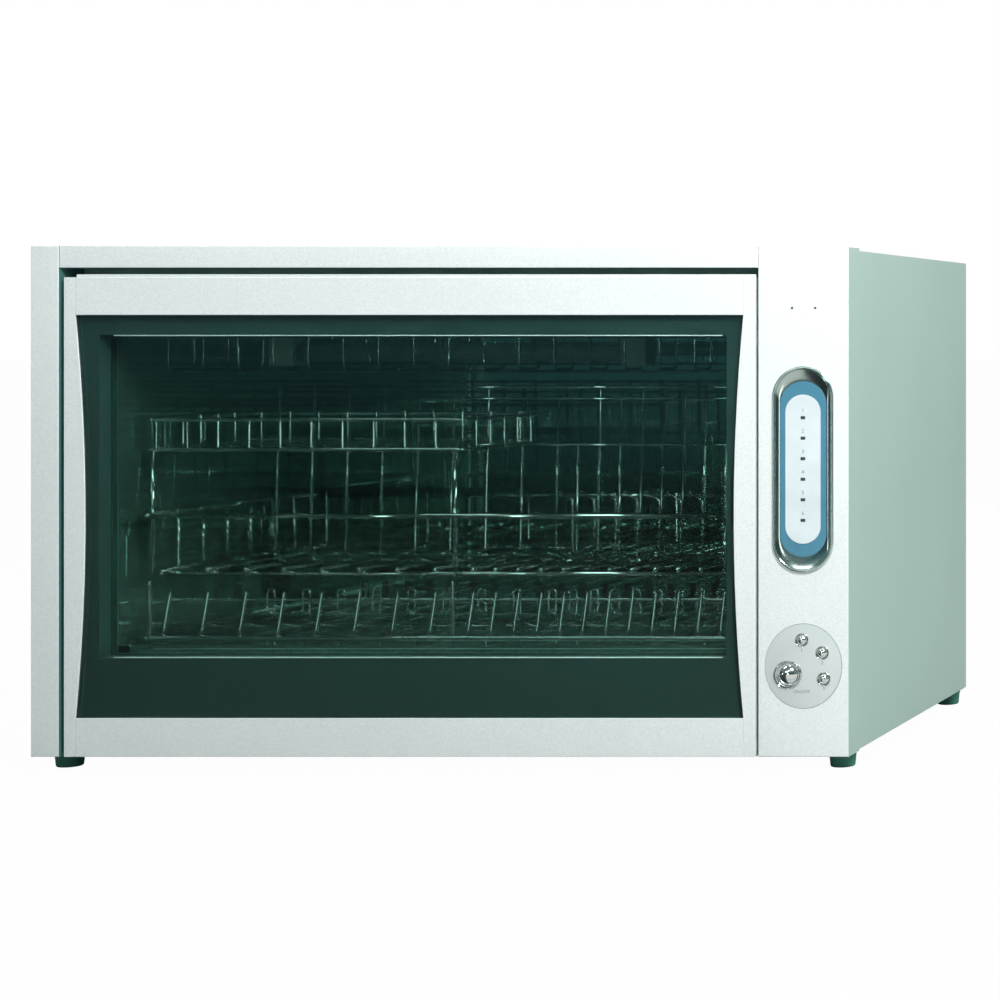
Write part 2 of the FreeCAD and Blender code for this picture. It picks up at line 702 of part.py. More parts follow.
# ---------------------------------------------------------------- chamber
def chamber_frame():
    """Front sheet with the chamber mouth, behind the door and the trim."""
    half = SHELL_X - SHELL_SHEET - PANEL_SEAM
    top = SHELL_TOP_Z - SHELL_SHEET - PANEL_SEAM
    sheet = block(-half, FASCIA_X + JAMB_COLUMN_REACH, JAMB_DEPTH, CH_D0, BASE_Z, top)
    mouth = block(CH_X0 + MOUTH_LIP, CH_X1 - MOUTH_LIP, JAMB_DEPTH - 1, CH_D0 + 1, CH_Z0, CH_Z1 - MOUTH_LIP)
    sheet = sheet.cut(mouth)
    x, z = door_switch_place()
    hole_radius = SWITCH_PLUNGER_RADIUS + BUTTON_FIT
    return drill(sheet, point(x, JAMB_DEPTH, z), (0, 1, 0), hole_radius, 4 * JAMB_SHEET)


def liner_floor():
    """Chamber floor sheet."""
    return block(CH_X0 - LINER_SHEET, CH_X1 + LINER_SHEET, CH_D0, CH_D1, CH_Z0 - LINER_SHEET, CH_Z0)


def liner_ceiling():
    """Chamber ceiling sheet."""
    return block(CH_X0 - LINER_SHEET, CH_X1 + LINER_SHEET, CH_D0, CH_D1, CH_Z1, CH_Z1 + LINER_SHEET)


def liner_left():
    """Chamber left wall sheet."""
    return block(CH_X0 - LINER_SHEET, CH_X0, CH_D0, CH_D1, CH_Z0, CH_Z1)


def liner_right():
    """Chamber right wall sheet, pierced in front of the fan."""
    sheet = block(CH_X1, CH_X1 + LINER_SHEET, CH_D0, CH_D1, CH_Z0, CH_Z1)
    steps = int((FAN_BORE_RADIUS - VENT_RADIUS) / VENT_PITCH)
    for i in range(-steps, steps + 1):
        for k in range(-steps, steps + 1):
            if math.hypot(i, k) * VENT_PITCH <= FAN_BORE_RADIUS - VENT_RADIUS:
                hole = point(CH_X1, FAN_D + i * VENT_PITCH, FAN_Z + k * VENT_PITCH)
                sheet = drill(sheet, hole, (1, 0, 0), VENT_RADIUS, 4 * LINER_SHEET)
    return sheet


def liner_back():
    """Chamber back wall sheet."""
    return block(CH_X0 - LINER_SHEET, CH_X1 + LINER_SHEET, CH_D1, CH_D1 + LINER_SHEET,
                 CH_Z0 - LINER_SHEET, CH_Z1 + LINER_SHEET)


def liner_supports():
    """Two cross-members that carry the chamber floor on the base pan."""
    low = BASE_Z + SHELL_SHEET
    high = CH_Z0 - LINER_SHEET
    members = []
    for depth in (SUPPORT_INSET, DEPTH - SUPPORT_INSET):
        web = block(CH_X0, CH_X1, depth, depth + SUPPORT_SHEET, low, high)
        foot = block(CH_X0, CH_X1, depth, depth + SUPPORT_FLANGE, low, low + SUPPORT_SHEET)
        head = block(CH_X0, CH_X1, depth, depth + SUPPORT_FLANGE, high - SUPPORT_SHEET, high)
        members.append(web.fuse(foot).fuse(head).removeSplitter())
    return members


def runners(ledge_z, ledge, flange):
    """The pair of angles on the two chamber walls."""
    return [runner(CH_X0, 1, ledge_z, ledge, flange), runner(CH_X1, -1, ledge_z, ledge, flange)]


def runner(wall_x, way, ledge_z, ledge, flange):
    """An angle along a chamber wall: a ledge, and under it a flange against the wall."""
    tip = wall_x + way * ledge
    leg = wall_x + way * RUNNER_SHEET
    front = CH_D0 + PANEL_SEAM
    plate = block(min(wall_x, tip), max(wall_x, tip), front, CH_D1, ledge_z - RUNNER_SHEET, ledge_z)
    wall = block(min(wall_x, leg), max(wall_x, leg), front, CH_D1, ledge_z - flange, ledge_z)
    return plate.fuse(wall).removeSplitter()


def upper_runners():
    """Angles that carry the upper rack's rim."""
    return runners(RIM_Z - RIM_RADIUS - SEAT_GAP, RUNNER_LEDGE, RUNNER_FLANGE)


def lower_runners():
    """Angles that carry the lower rack, standing on the chamber floor."""
    top = LOWER_Z - RIM_RADIUS - SEAT_GAP
    return runners(top, LOWER_RUNNER_LEDGE, top - CH_Z0)


# ---------------------------------------------------------------- lamp, heater, fan
def uv_lamp_tube():
    """Ultraviolet tube under the chamber ceiling, left to right."""
    half = LAMP_LENGTH / 2.0
    return across(LAMP_X - half, LAMP_X + half, CH_D0 + LAMP_DEPTH, CH_Z1 - LAMP_DROP, LAMP_RADIUS)


def uv_lamp_holders():
    """Two lamp holders that hang from the ceiling and hold the tube's ends."""
    z = CH_Z1 - LAMP_DROP
    depth = CH_D0 + LAMP_DEPTH
    side = LAMP_RADIUS + HOLDER_WALL
    holders = []
    for way in (-1, 1):
        outer = LAMP_X + way * (LAMP_LENGTH / 2.0 + HOLDER_WALL)
        inner = outer - way * HOLDER_LENGTH
        end = LAMP_X + way * (LAMP_LENGTH / 2.0 + PIN_FIT)
        body = block(min(outer, inner), max(outer, inner), depth - side, depth + side, z - side, CH_Z1)
        body = body.cut(across(end, inner - way, depth, z, LAMP_RADIUS + PIN_FIT))
        holders.append(body)
    return holders


def uv_lamp_guard():
    """Row of U-shaped wires that hang from the ceiling round the lamp, joined by two rails under them."""
    depth = CH_D0 + LAMP_DEPTH
    low = CH_Z1 - GUARD_DROP
    top = CH_Z1 - WELD_GAP
    wires = []
    x = CH_X0 + GUARD_END_GAP
    while x <= CH_X1 - GUARD_END_GAP:
        route = [point(x, depth - GUARD_HALF_SPAN, top), point(x, depth - GUARD_HALF_SPAN, low),
                 point(x, depth + GUARD_HALF_SPAN, low), point(x, depth + GUARD_HALF_SPAN, top)]
        wires.append(bent_wire(route, GUARD_RADIUS, GUARD_BEND))
        last = x
        x += GUARD_PITCH
    rail_z = low - 2 * GUARD_RADIUS - WELD_GAP
    for side in (-1, 1):
        rail_d = depth + side * (GUARD_HALF_SPAN - GUARD_RAIL_INSET)
        start = CH_X0 + GUARD_END_GAP - GUARD_RADIUS
        wires.append(across(start, last + GUARD_RADIUS, rail_d, rail_z, GUARD_RADIUS))
    return wires


def heater_place():
    """Depth and z of the heater tube's axis."""
    return CH_D1 - HEATER_BACK_GAP, CH_Z0 + HEATER_RISE


def heater_tube():
    """Quartz heater tube low at the back of the chamber."""
    depth, z = heater_place()
    half = HEATER_LENGTH / 2.0
    return across(LAMP_X - half, LAMP_X + half, depth, z, HEATER_RADIUS)


def heater_holders():
    """Ceramic blocks on the back wall that hold the heater tube's ends."""
    depth, z = heater_place()
    side = HEATER_END_SIDE / 2.0
    holders = []
    for way in (-1, 1):
        outer = LAMP_X + way * (HEATER_LENGTH / 2.0 + HOLDER_WALL)
        inner = outer - way * HEATER_END_LENGTH
        end = LAMP_X + way * (HEATER_LENGTH / 2.0 + PIN_FIT)
        body = block(min(outer, inner), max(outer, inner), depth - side, CH_D1, z - side, z + side)
        body = body.cut(across(end, inner - way, depth, z, HEATER_RADIUS + PIN_FIT))
        holders.append(body)
    return holders


def heater_shield():
    """Slotted upright sheet on the chamber floor in front of the heater."""
    depth = CH_D1 - SHIELD_BACK_GAP
    half = HEATER_LENGTH / 2.0 + HEATER_END_LENGTH
    sheet = block(LAMP_X - half, LAMP_X + half, depth, depth + SHIELD_SHEET, CH_Z0, CH_Z0 + SHIELD_HEIGHT)
    slot_low = CH_Z0 + SHIELD_SLOT_WIDTH
    slot_high = CH_Z0 + SHIELD_HEIGHT - SHIELD_SLOT_WIDTH
    x = LAMP_X - half + SHIELD_SLOT_PITCH
    while x <= LAMP_X + half - SHIELD_SLOT_PITCH:
        near = x - SHIELD_SLOT_WIDTH / 2.0
        sheet = sheet.cut(block(near, near + SHIELD_SLOT_WIDTH, depth - 1, depth + SHIELD_SHEET + 1,
                                slot_low, slot_high))
        x += SHIELD_SLOT_PITCH
    return sheet


def fan_housing():
    """Square fan frame on the right chamber wall, with three spokes, a motor boss and the shaft."""
    half = FAN_SIDE / 2.0
    x1 = FAN_X0 + FAN_THICKNESS
    spoke_x = x1 - FAN_SPOKE_SHEET
    frame = block(FAN_X0, x1, FAN_D - half, FAN_D + half, FAN_Z - half, FAN_Z + half)
    frame = frame.cut(across(FAN_X0 - 1, x1 + 1, FAN_D, FAN_Z, FAN_BORE_RADIUS))
    boss = across(spoke_x, x1, FAN_D, FAN_Z, FAN_HUB_RADIUS)
    shaft = across(FAN_X0 + FAN_SPOKE_SHEET, spoke_x, FAN_D, FAN_Z, FAN_SHAFT_RADIUS)
    frame = frame.fuse(boss).fuse(shaft)
    for i in range(FAN_SPOKE_COUNT):
        spoke = block(spoke_x, x1, FAN_D - FAN_SPOKE / 2.0, FAN_D + FAN_SPOKE / 2.0,
                      FAN_Z, FAN_Z + FAN_BORE_RADIUS + 1)
        spoke.rotate(point(0, FAN_D, FAN_Z), Vector(1, 0, 0), FAN_FIRST_SPOKE + i * 360.0 / FAN_SPOKE_COUNT)
        frame = frame.fuse(spoke)
    return frame.removeSplitter()


def fan_impeller():
    """Hub with pitched blades, running on the fan's shaft."""
    x0 = FAN_X0 + FAN_SPOKE_SHEET + PIN_FIT
    x1 = FAN_X0 + FAN_THICKNESS - FAN_SPOKE_SHEET - SEAT_GAP
    hub = across(x0, x1, FAN_D, FAN_Z, FAN_HUB_RADIUS)
    middle = (x0 + x1) / 2.0
    reach = FAN_BORE_RADIUS - FAN_BLADE_GAP
    chord = (x1 - x0) - 2 * FAN_BLADE_GAP
    for i in range(FAN_BLADES):
        blade = block(middle - chord / 2.0, middle + chord / 2.0, FAN_D - FAN_BLADE_SHEET / 2.0,
                      FAN_D + FAN_BLADE_SHEET / 2.0, FAN_Z + FAN_HUB_RADIUS - FAN_BLADE_ROOT, FAN_Z + reach)
        blade.rotate(point(middle, FAN_D, FAN_Z), Vector(0, 0, 1), FAN_BLADE_TWIST)
        blade.rotate(point(middle, FAN_D, FAN_Z), Vector(1, 0, 0), i * 360.0 / FAN_BLADES)
        hub = hub.fuse(blade)
    bore = across(x0 - 1, x1 + 1, FAN_D, FAN_Z, FAN_SHAFT_RADIUS + PIN_FIT)
    return hub.cut(bore).removeSplitter()


# ---------------------------------------------------------------- things inside the control column
def lamp_ballast():
    """Ballast box for the lamp, on the base pan."""
    x0 = CH_X1 + LINER_SHEET + COLUMN_CLEAR
    d0 = DEPTH / 2.0
    z0 = BASE_Z + SHELL_SHEET
    return block(x0, x0 + BALLAST_SIZE[0], d0, d0 + BALLAST_SIZE[1], z0, z0 + BALLAST_SIZE[2])


def ozone_generator():
    """Ozone generator box on the outside of the right chamber wall."""
    x0 = CH_X1 + LINER_SHEET
    d0 = CH_D0 + OZONE_FRONT_GAP
    z0 = CH_Z0 + OZONE_SIZE[2]
    return block(x0, x0 + OZONE_SIZE[0], d0, d0 + OZONE_SIZE[1], z0, z0 + OZONE_SIZE[2])


def terminal_block():
    """Mains terminal block on the base pan near the cable gland."""
    x1 = SHELL_X - SHELL_SHEET - SHELL_FLANGE - COLUMN_CLEAR
    d1 = DEPTH - SHELL_FLANGE - 2 * GLAND_BODY_RADIUS
    z0 = BASE_Z + SHELL_SHEET
    return block(x1 - TERMINAL_SIZE[0], x1, d1 - TERMINAL_SIZE[1], d1, z0, z0 + TERMINAL_SIZE[2])


def door_switch_place():
    """X and z of the door switch's plunger, between the gasket and the door's right end."""
    return CH_X1 - MOUTH_LIP + GASKET_OFFSET + GASKET_WIDTH + SWITCH_BODY[0] / 2.0, (CH_Z0 + CH_Z1) / 2.0


def door_switch():
    """Switch behind the chamber frame; its plunger ends just short of the closed door."""
    x, z = door_switch_place()
    half_x = SWITCH_BODY[0] / 2.0
    half_z = SWITCH_BODY[2] / 2.0
    body = block(x - half_x, x + half_x, CH_D0, CH_D0 + SWITCH_BODY[1], z - half_z, z + half_z)
    plunger = inwards(x, DOOR_THICKNESS + SEAT_GAP, CH_D0, z, SWITCH_PLUNGER_RADIUS)
    return body.fuse(plunger).removeSplitter()


# ---------------------------------------------------------------- control panel
def button_list():
    """Name, x, z, radius and ring width of every button."""
    buttons = [(name, PANEL_X + dx, PAD_Z + dz, SMALL_BUTTON_RADIUS, RING_WIDTH_SMALL)
               for name, dx, dz in SMALL_BUTTONS]
    name, dx, dz = POWER_BUTTON
    buttons.append((name, PANEL_X + dx, PAD_Z + dz, POWER_BUTTON_RADIUS, RING_WIDTH_POWER))
    return buttons


def button_pad():
    """Crowned oval pad on the fascia with a hole for each button's ring."""
    pad = oval(PANEL_X, PAD_Z, PAD_WIDTH, PAD_HEIGHT, -PAD_THICKNESS, 0)
    crown = Part.makeSphere(PAD_CROWN_RADIUS, point(PANEL_X, PAD_CROWN_RADIUS - PAD_THICKNESS, PAD_Z))
    pad = pad.common(crown)
    for _name, x, z, radius, width in button_list():
        hole_radius = radius + BUTTON_FIT + width + RING_FIT
        pad = drill(pad, point(x, 0, z), (0, 1, 0), hole_radius, 4 * PAD_THICKNESS)
    return pad


def button_rings():
    """Chrome funnel round each button, through the pad and on the fascia."""
    rings = []
    height = PAD_THICKNESS + RING_PROUD
    for _name, x, z, radius, width in button_list():
        inner = radius + BUTTON_FIT
        outer = inner + width
        ring = inwards(x, -height, 0, z, outer)
        funnel = Part.makeCone(inner, outer - RING_LIP, height, point(x, 0, z), Vector(0, -1, 0))
        rings.append(ring.cut(funnel))
    return rings


def button(x, z, radius, proud, dome_height):
    """A domed button with a stop flange behind the fascia and a stem towards its switch."""
    shoulder = proud - dome_height
    stop = TRIM_SHEET + SEAT_GAP
    stem_end = BOARD_DEPTH - SWITCH_HEIGHT - BUTTON_TRAVEL - BUTTON_STEM_GAP
    ball_radius = (radius ** 2 + dome_height ** 2) / (2 * dome_height)
    body = inwards(x, -shoulder, stop, z, radius)
    limit = inwards(x, -proud, -shoulder, z, radius)
    dome = Part.makeSphere(ball_radius, point(x, ball_radius - proud, z)).common(limit)
    flange = inwards(x, stop, stop + BUTTON_STOP_SHEET, z, radius + BUTTON_STOP_WIDTH)
    stem = inwards(x, stop + BUTTON_STOP_SHEET, stem_end, z, BUTTON_STEM_RADIUS)
    return body.fuse([dome, flange, stem]).removeSplitter()


def pill_bezel():
    """Raised chrome ring round the display, stadium-shaped."""
    ring = stadium(PANEL_X, PILL_Z, PILL_BEZEL_WIDTH, PILL_BEZEL_HEIGHT, -PILL_BEZEL_PROUD, 0)
    front = [e for e in ring.Edges if abs(e.BoundBox.YMax - (FRONT_Y - PILL_BEZEL_PROUD)) < 0.01]
    ring = ring.makeFillet(PILL_EDGE, front)
    width = PILL_PLATE_WIDTH + 2 * PILL_FIT
    height = PILL_PLATE_HEIGHT + 2 * PILL_FIT
    bottom = stadium_outline(PANEL_X, PILL_Z, width, height, -PILL_PLATE_PROUD)
    mouth = stadium_outline(PANEL_X, PILL_Z, width + 2 * PILL_SLOPE, height + 2 * PILL_SLOPE,
                            -PILL_BEZEL_PROUD)
    slope = Part.makeLoft([bottom, mouth], True)
    inside = stadium(PANEL_X, PILL_Z, width, height, -PILL_PLATE_PROUD, 1)
    return ring.cut(slope).cut(inside)


def pill_plate():
    """Blue plate inside the bezel, with a slot for the lamps."""
    plate = stadium(PANEL_X, PILL_Z, PILL_PLATE_WIDTH, PILL_PLATE_HEIGHT, -PILL_PLATE_PROUD, 0)
    return plate.cut(stadium(PANEL_X, PILL_Z, PILL_SLOT_WIDTH, PILL_SLOT_HEIGHT, -PILL_PLATE_PROUD - 1, 1))


def led_heights():
    """Heights of the display's windows, from the top down."""
    top = PILL_Z + LED_RISE_OFFSET + LED_PITCH * (LED_COUNT - 1) / 2.0
    return [top - i * LED_PITCH for i in range(LED_COUNT)]


def pill_label_plate():
    """White plate over the blue one, with a window hole for each lamp."""
    front = PILL_PLATE_PROUD + PILL_LABEL_SHEET
    plate = stadium(PANEL_X, PILL_Z, PILL_LABEL_WIDTH, PILL_LABEL_HEIGHT, -front, -PILL_PLATE_PROUD)
    half_x = LED_WIDTH / 2.0 + WELD_GAP
    half_z = LED_HEIGHT / 2.0 + WELD_GAP
    for z in led_heights():
        plate = plate.cut(block(PANEL_X - half_x, PANEL_X + half_x, -front - 1, 0, z - half_z, z + half_z))
    return plate


def led_windows():
    """Dark lenses in the display's window holes."""
    front = PILL_PLATE_PROUD + PILL_LABEL_SHEET + LED_PROUD
    half_x = LED_WIDTH / 2.0
    half_z = LED_HEIGHT / 2.0
    return [block(PANEL_X - half_x, PANEL_X + half_x, -front, -PILL_PLATE_PROUD, z - half_z, z + half_z)
            for z in led_heights()]


def display_board():
    """Circuit board behind the display, with a lamp body behind each window."""
    half_x = DISPLAY_BOARD_WIDTH / 2.0
    half_z = PILL_SLOT_HEIGHT / 2.0 + DISPLAY_BOARD_MARGIN
    front = DISPLAY_BOARD_DEPTH
    board = block(PANEL_X - half_x, PANEL_X + half_x, front, front + BOARD_SHEET,
                  PILL_Z - half_z, PILL_Z + half_z)
    lamps = [inwards(PANEL_X, SEAT_GAP - PILL_PLATE_PROUD, front, z, LED_HEIGHT / 2.0) for z in led_heights()]
    return [board] + lamps


def control_board():
    """Main circuit board behind the buttons, with a switch behind each button."""
    half_x = BOARD_WIDTH / 2.0
    half_z = PAD_HEIGHT / 2.0 + BOARD_MARGIN / 2.0
    board = block(PANEL_X - half_x, PANEL_X + half_x, BOARD_DEPTH, BOARD_DEPTH + BOARD_SHEET,
                  PAD_Z - half_z, PAD_Z + half_z)
    half = SWITCH_SIDE / 2.0
    switches = [block(x - half, x + half, BOARD_DEPTH - SWITCH_HEIGHT, BOARD_DEPTH, z - half, z + half)
                for _name, x, z, _radius, _ring in button_list()]
    return [board] + switches


def board_standoffs():
    """Posts between the fascia's back and the two circuit boards."""
    control_x = BOARD_WIDTH / 2.0 - STANDOFF_RADIUS
    control_z = PAD_HEIGHT / 2.0 + BOARD_MARGIN / 2.0 - STANDOFF_RADIUS
    display_x = DISPLAY_BOARD_WIDTH / 2.0 - STANDOFF_RADIUS
    display_z = PILL_SLOT_HEIGHT / 2.0 + DISPLAY_BOARD_MARGIN - STANDOFF_RADIUS
    posts = []
    for sx in (-1, 1):
        for sz in (-1, 1):
            x, z = PANEL_X + sx * control_x, PAD_Z + sz * control_z
            posts.append(inwards(x, TRIM_SHEET, BOARD_DEPTH, z, STANDOFF_RADIUS))
            x, z = PANEL_X + sx * display_x, PILL_Z + sz * display_z
            posts.append(inwards(x, TRIM_SHEET, DISPLAY_BOARD_DEPTH, z, STANDOFF_RADIUS))
    return posts


# ---------------------------------------------------------------- door
def door_stile(side):
    """Full-height door edge: a face whose inner edge bows inwards, an end wall, and top and bottom walls."""
    if side < 0:
        outer, way, end_width = DOOR_X0, 1, DOOR_STILE_LEFT_END
    else:
        outer, way, end_width = DOOR_X1, -1, DOOR_STILE_RIGHT_END
    inner = outer + way * end_width
    peak = inner + way * DOOR_STILE_BULGE
    middle_z = (GLASS_Z0 + GLASS_Z1) / 2.0
    corners = [point(inner, 0, GLASS_Z1), point(inner, 0, DOOR_Z1), point(outer, 0, DOOR_Z1),
               point(outer, 0, DOOR_Z0), point(inner, 0, DOOR_Z0), point(inner, 0, GLASS_Z0)]
    edges = [Part.LineSegment(a, b).toShape() for a, b in zip(corners, corners[1:])]
    edges.append(Part.Arc(corners[-1], point(peak, 0, middle_z), corners[0]).toShape())
    face = Part.Face(Part.Wire(edges)).extrude(Vector(0, DOOR_SHEET, 0))
    wall_in = outer + way * DOOR_SHEET
    wall = block(min(outer, wall_in), max(outer, wall_in), 0, DOOR_THICKNESS, DOOR_Z0, DOOR_Z1)
    low = block(min(outer, inner), max(outer, inner), 0, DOOR_THICKNESS, DOOR_Z0, DOOR_Z0 + DOOR_SHEET)
    high = block(min(outer, inner), max(outer, inner), 0, DOOR_THICKNESS, DOOR_Z1 - DOOR_SHEET, DOOR_Z1)
    stile = face.fuse([wall, low, high]).removeSplitter()
    return drill(stile, point(outer, PIVOT_DEPTH, PIVOT_Z), (1, 0, 0), PIN_RADIUS + PIN_FIT, 3 * DOOR_SHEET)


def door_rail_span():
    """Left and right ends of the two door rails, between the stiles."""
    return DOOR_X0 + DOOR_STILE_LEFT_END + TRIM_SEAM, DOOR_X1 - DOOR_STILE_RIGHT_END - TRIM_SEAM


def door_top_rail():
    """Upper door rail: a face, a top wall and a low lip along the top."""
    x0, x1 = door_rail_span()
    face = block(x0, x1, 0, DOOR_SHEET, GLASS_Z1, DOOR_Z1)
    wall = block(x0, x1, 0, DOOR_THICKNESS, DOOR_Z1 - DOOR_SHEET, DOOR_Z1)
    lip = block(x0, x1, DOOR_LIP_SHEET, 2 * DOOR_LIP_SHEET, DOOR_Z1 - DOOR_SHEET, DOOR_LIP_Z)
    return face.fuse([wall, lip]).removeSplitter()


def door_bottom_rail():
    """Lower door rail: a face and a bottom wall."""
    x0, x1 = door_rail_span()
    face = block(x0, x1, 0, DOOR_SHEET, DOOR_Z0, GLASS_Z0)
    wall = block(x0, x1, 0, DOOR_THICKNESS, DOOR_Z0, DOOR_Z0 + DOOR_SHEET)
    return face.fuse(wall).removeSplitter()


def door_inside():
    """X and z limits of what lies inside the door's edge walls."""
    edge = DOOR_SHEET + DOOR_FIT
    return DOOR_X0 + edge, DOOR_X1 - edge, DOOR_Z0 + edge, DOOR_Z1 - edge


def door_glass():
    """Outer tinted pane, full size, behind the door's face."""
    x0, x1, z0, z1 = door_inside()
    return block(x0, x1, GLASS_D0, GLASS_D1, z0, z1)


def door_inner_frame():
    """Dark sheet behind the outer pane, with a window and a collar that runs back to the inner pane."""
    x0, x1, z0, z1 = door_inside()
    sheet = block(x0, x1, INNER_D0, INNER_D1, z0, z1)
    collar = block(WIN_X0 - COLLAR_SHEET, WIN_X1 + COLLAR_SHEET, INNER_D0, COLLAR_D1,
                   WIN_Z0 - COLLAR_SHEET, WIN_Z1 + COLLAR_SHEET)
    hole = block(WIN_X0, WIN_X1, INNER_D0 - 1, COLLAR_D1 + 1, WIN_Z0, WIN_Z1)
    return sheet.fuse(collar).cut(hole).removeSplitter()


def door_inner_glass():
    """Inner clear pane, between the collar and the back plate."""
    lap = INNER_GLASS_LAP
    return block(WIN_X0 - lap, WIN_X1 + lap, PANE_D0, PANE_D1, WIN_Z0 - lap, WIN_Z1 + lap)


def door_back_plate():
    """Sheet that closes the back of the door round the inner pane."""
    x0, x1, z0, z1 = door_inside()
    sheet = block(x0, x1, BACK_D0, BACK_D1, z0, z1)
    hole = block(WIN_X0 - BACK_LIP, WIN_X1 + BACK_LIP, BACK_D0 - 1, BACK_D1 + 1,
                 WIN_Z0 - BACK_LIP, WIN_Z1 + BACK_LIP)
    return sheet.cut(hole)


def door_gasket():
    """Soft seal round the chamber mouth, on the back of the door."""
    near = GASKET_OFFSET
    far = GASKET_OFFSET + GASKET_WIDTH
    d1 = JAMB_DEPTH - GASKET_GAP
    x0, x1 = CH_X0 + MOUTH_LIP, CH_X1 - MOUTH_LIP
    z0, z1 = CH_Z0, CH_Z1 - MOUTH_LIP
    outer = block(x0 - far, x1 + far, DOOR_THICKNESS, d1, z0 - far, z1 + far)
    upright = [e for e in outer.Edges if abs(e.BoundBox.YLength - (d1 - DOOR_THICKNESS)) < 1e-6]
    outer = outer.makeFillet(GASKET_WIDTH, upright)
    return outer.cut(block(x0 - near, x1 + near, DOOR_THICKNESS - 1, d1 + 1, z0 - near, z1 + near))


def hinge_pins():
    """Pivots at the door's top corners: a block inside the stile, a cap outside it and a pin."""
    pins = []
    for outer, way, ear_far in ((DOOR_X0, -1, hinge_ear_span(-1)[0]), (DOOR_X1, 1, hinge_ear_span(1)[1])):
        inner = outer - way * (DOOR_SHEET + WELD_GAP)
        back = inner - way * PIVOT_BLOCK_LENGTH
        half = PIVOT_BLOCK_SIDE / 2.0
        block_piece = block(min(inner, back), max(inner, back), PIVOT_DEPTH - half, PIVOT_DEPTH + half,
                            PIVOT_Z - half, PIVOT_Z + half)
        gap = DOOR_GAP_LEFT if way < 0 else DOOR_GAP_RIGHT
        cap_start = outer + way * WELD_GAP
        cap_end = outer + way * (gap - PIVOT_CAP_RUNNING)
        cap = across(cap_start, cap_end, PIVOT_DEPTH, PIVOT_Z, PIVOT_CAP_RADIUS)
        pin = across(inner, ear_far + way * DOOR_FIT, PIVOT_DEPTH, PIVOT_Z, PIN_RADIUS)
        pins.append(block_piece.fuse([cap, pin]).removeSplitter())
    return pins


def hinge_ear_span(side):
    """X limits of the bracket ear that a hinge pin turns in."""
    if side < 0:
        far = STILE_IN_X - TRIM_SHEET - EAR_OFFSET - EAR_THICKNESS
        return far, far + EAR_THICKNESS
    near = FASCIA_X + TRIM_SHEET + EAR_OFFSET
    return near, near + EAR_THICKNESS


def hinge_brackets():
    """Angle brackets on the chamber frame, each with a bored ear for a door pin."""
    brackets = []
    for side in (-1, 1):
        x0, x1 = hinge_ear_span(side)
        half = EAR_SIDE / 2.0
        ear = block(x0, x1, PIVOT_DEPTH - half + PIN_RADIUS, JAMB_DEPTH, PIVOT_Z - half, PIVOT_Z + half)
        base_x = (x0 - BRACKET_BASE, x0) if side < 0 else (x1, x1 + BRACKET_BASE)
        base = block(base_x[0], base_x[1], JAMB_DEPTH - BRACKET_SHEET, JAMB_DEPTH,
                     PIVOT_Z - half, PIVOT_Z + half)
        bracket = ear.fuse(base).removeSplitter()
        brackets.append(drill(bracket, point(x0, PIVOT_DEPTH, PIVOT_Z), (1, 0, 0), PIN_RADIUS + PIN_FIT,
                              4 * EAR_THICKNESS))
    return brackets


# ---------------------------------------------------------------- racks, basket and tray
def upper_rack_frame():
    """Upper rack's bent wires: the rim, the crate loop under it, and the posts that carry the basket."""
    rods = rim_loop(RACK_X0, RACK_X1, RACK_D0, RACK_D1, RIM_Z, RIM_RADIUS, RACK_CORNER)
    corner = RACK_CORNER - FRAME_RADIUS
    rods += rim_loop(CRATE_X0, CRATE_X1, CRATE_D0, CRATE_D1, CRATE_Z, FRAME_RADIUS, corner)
    low = CRATE_Z - FRAME_RADIUS
    high = RIM_Z + RIM_RADIUS
    for x in POST_XS:
        rods.append(upright(x, BASKET_D0, low, BASKET_Z0 - BASKET_RIM_RADIUS - SEAT_GAP, POST_RADIUS))
    right = RACK_X1 - RACK_CORNER - FRAME_RADIUS
    rods.append(upright(right, BASKET_D0, low, high, POST_RADIUS))
    depth = RACK_D0 + SIDE_WIRE_START
    while depth <= RACK_D1 - SIDE_WIRE_START:
        for x in (RACK_X0 + SIDE_WIRE_INSET, RACK_X1 - SIDE_WIRE_INSET):
            rods.append(upright(x, depth, low, high, WIRE_RADIUS))
        depth += SIDE_WIRE_PITCH
    for x in wire_places()[::REAR_WIRE_STEP]:
        rods.append(upright(x, RACK_D1 - SIDE_WIRE_INSET, low, high, WIRE_RADIUS))
    return rods


def fence_depth(z):
    """Depth of the leaning fence wires at a height."""
    return CH_D0 + FENCE_DEPTH + FENCE_LEAN * (z - STAND_Z) / FENCE_HEIGHT


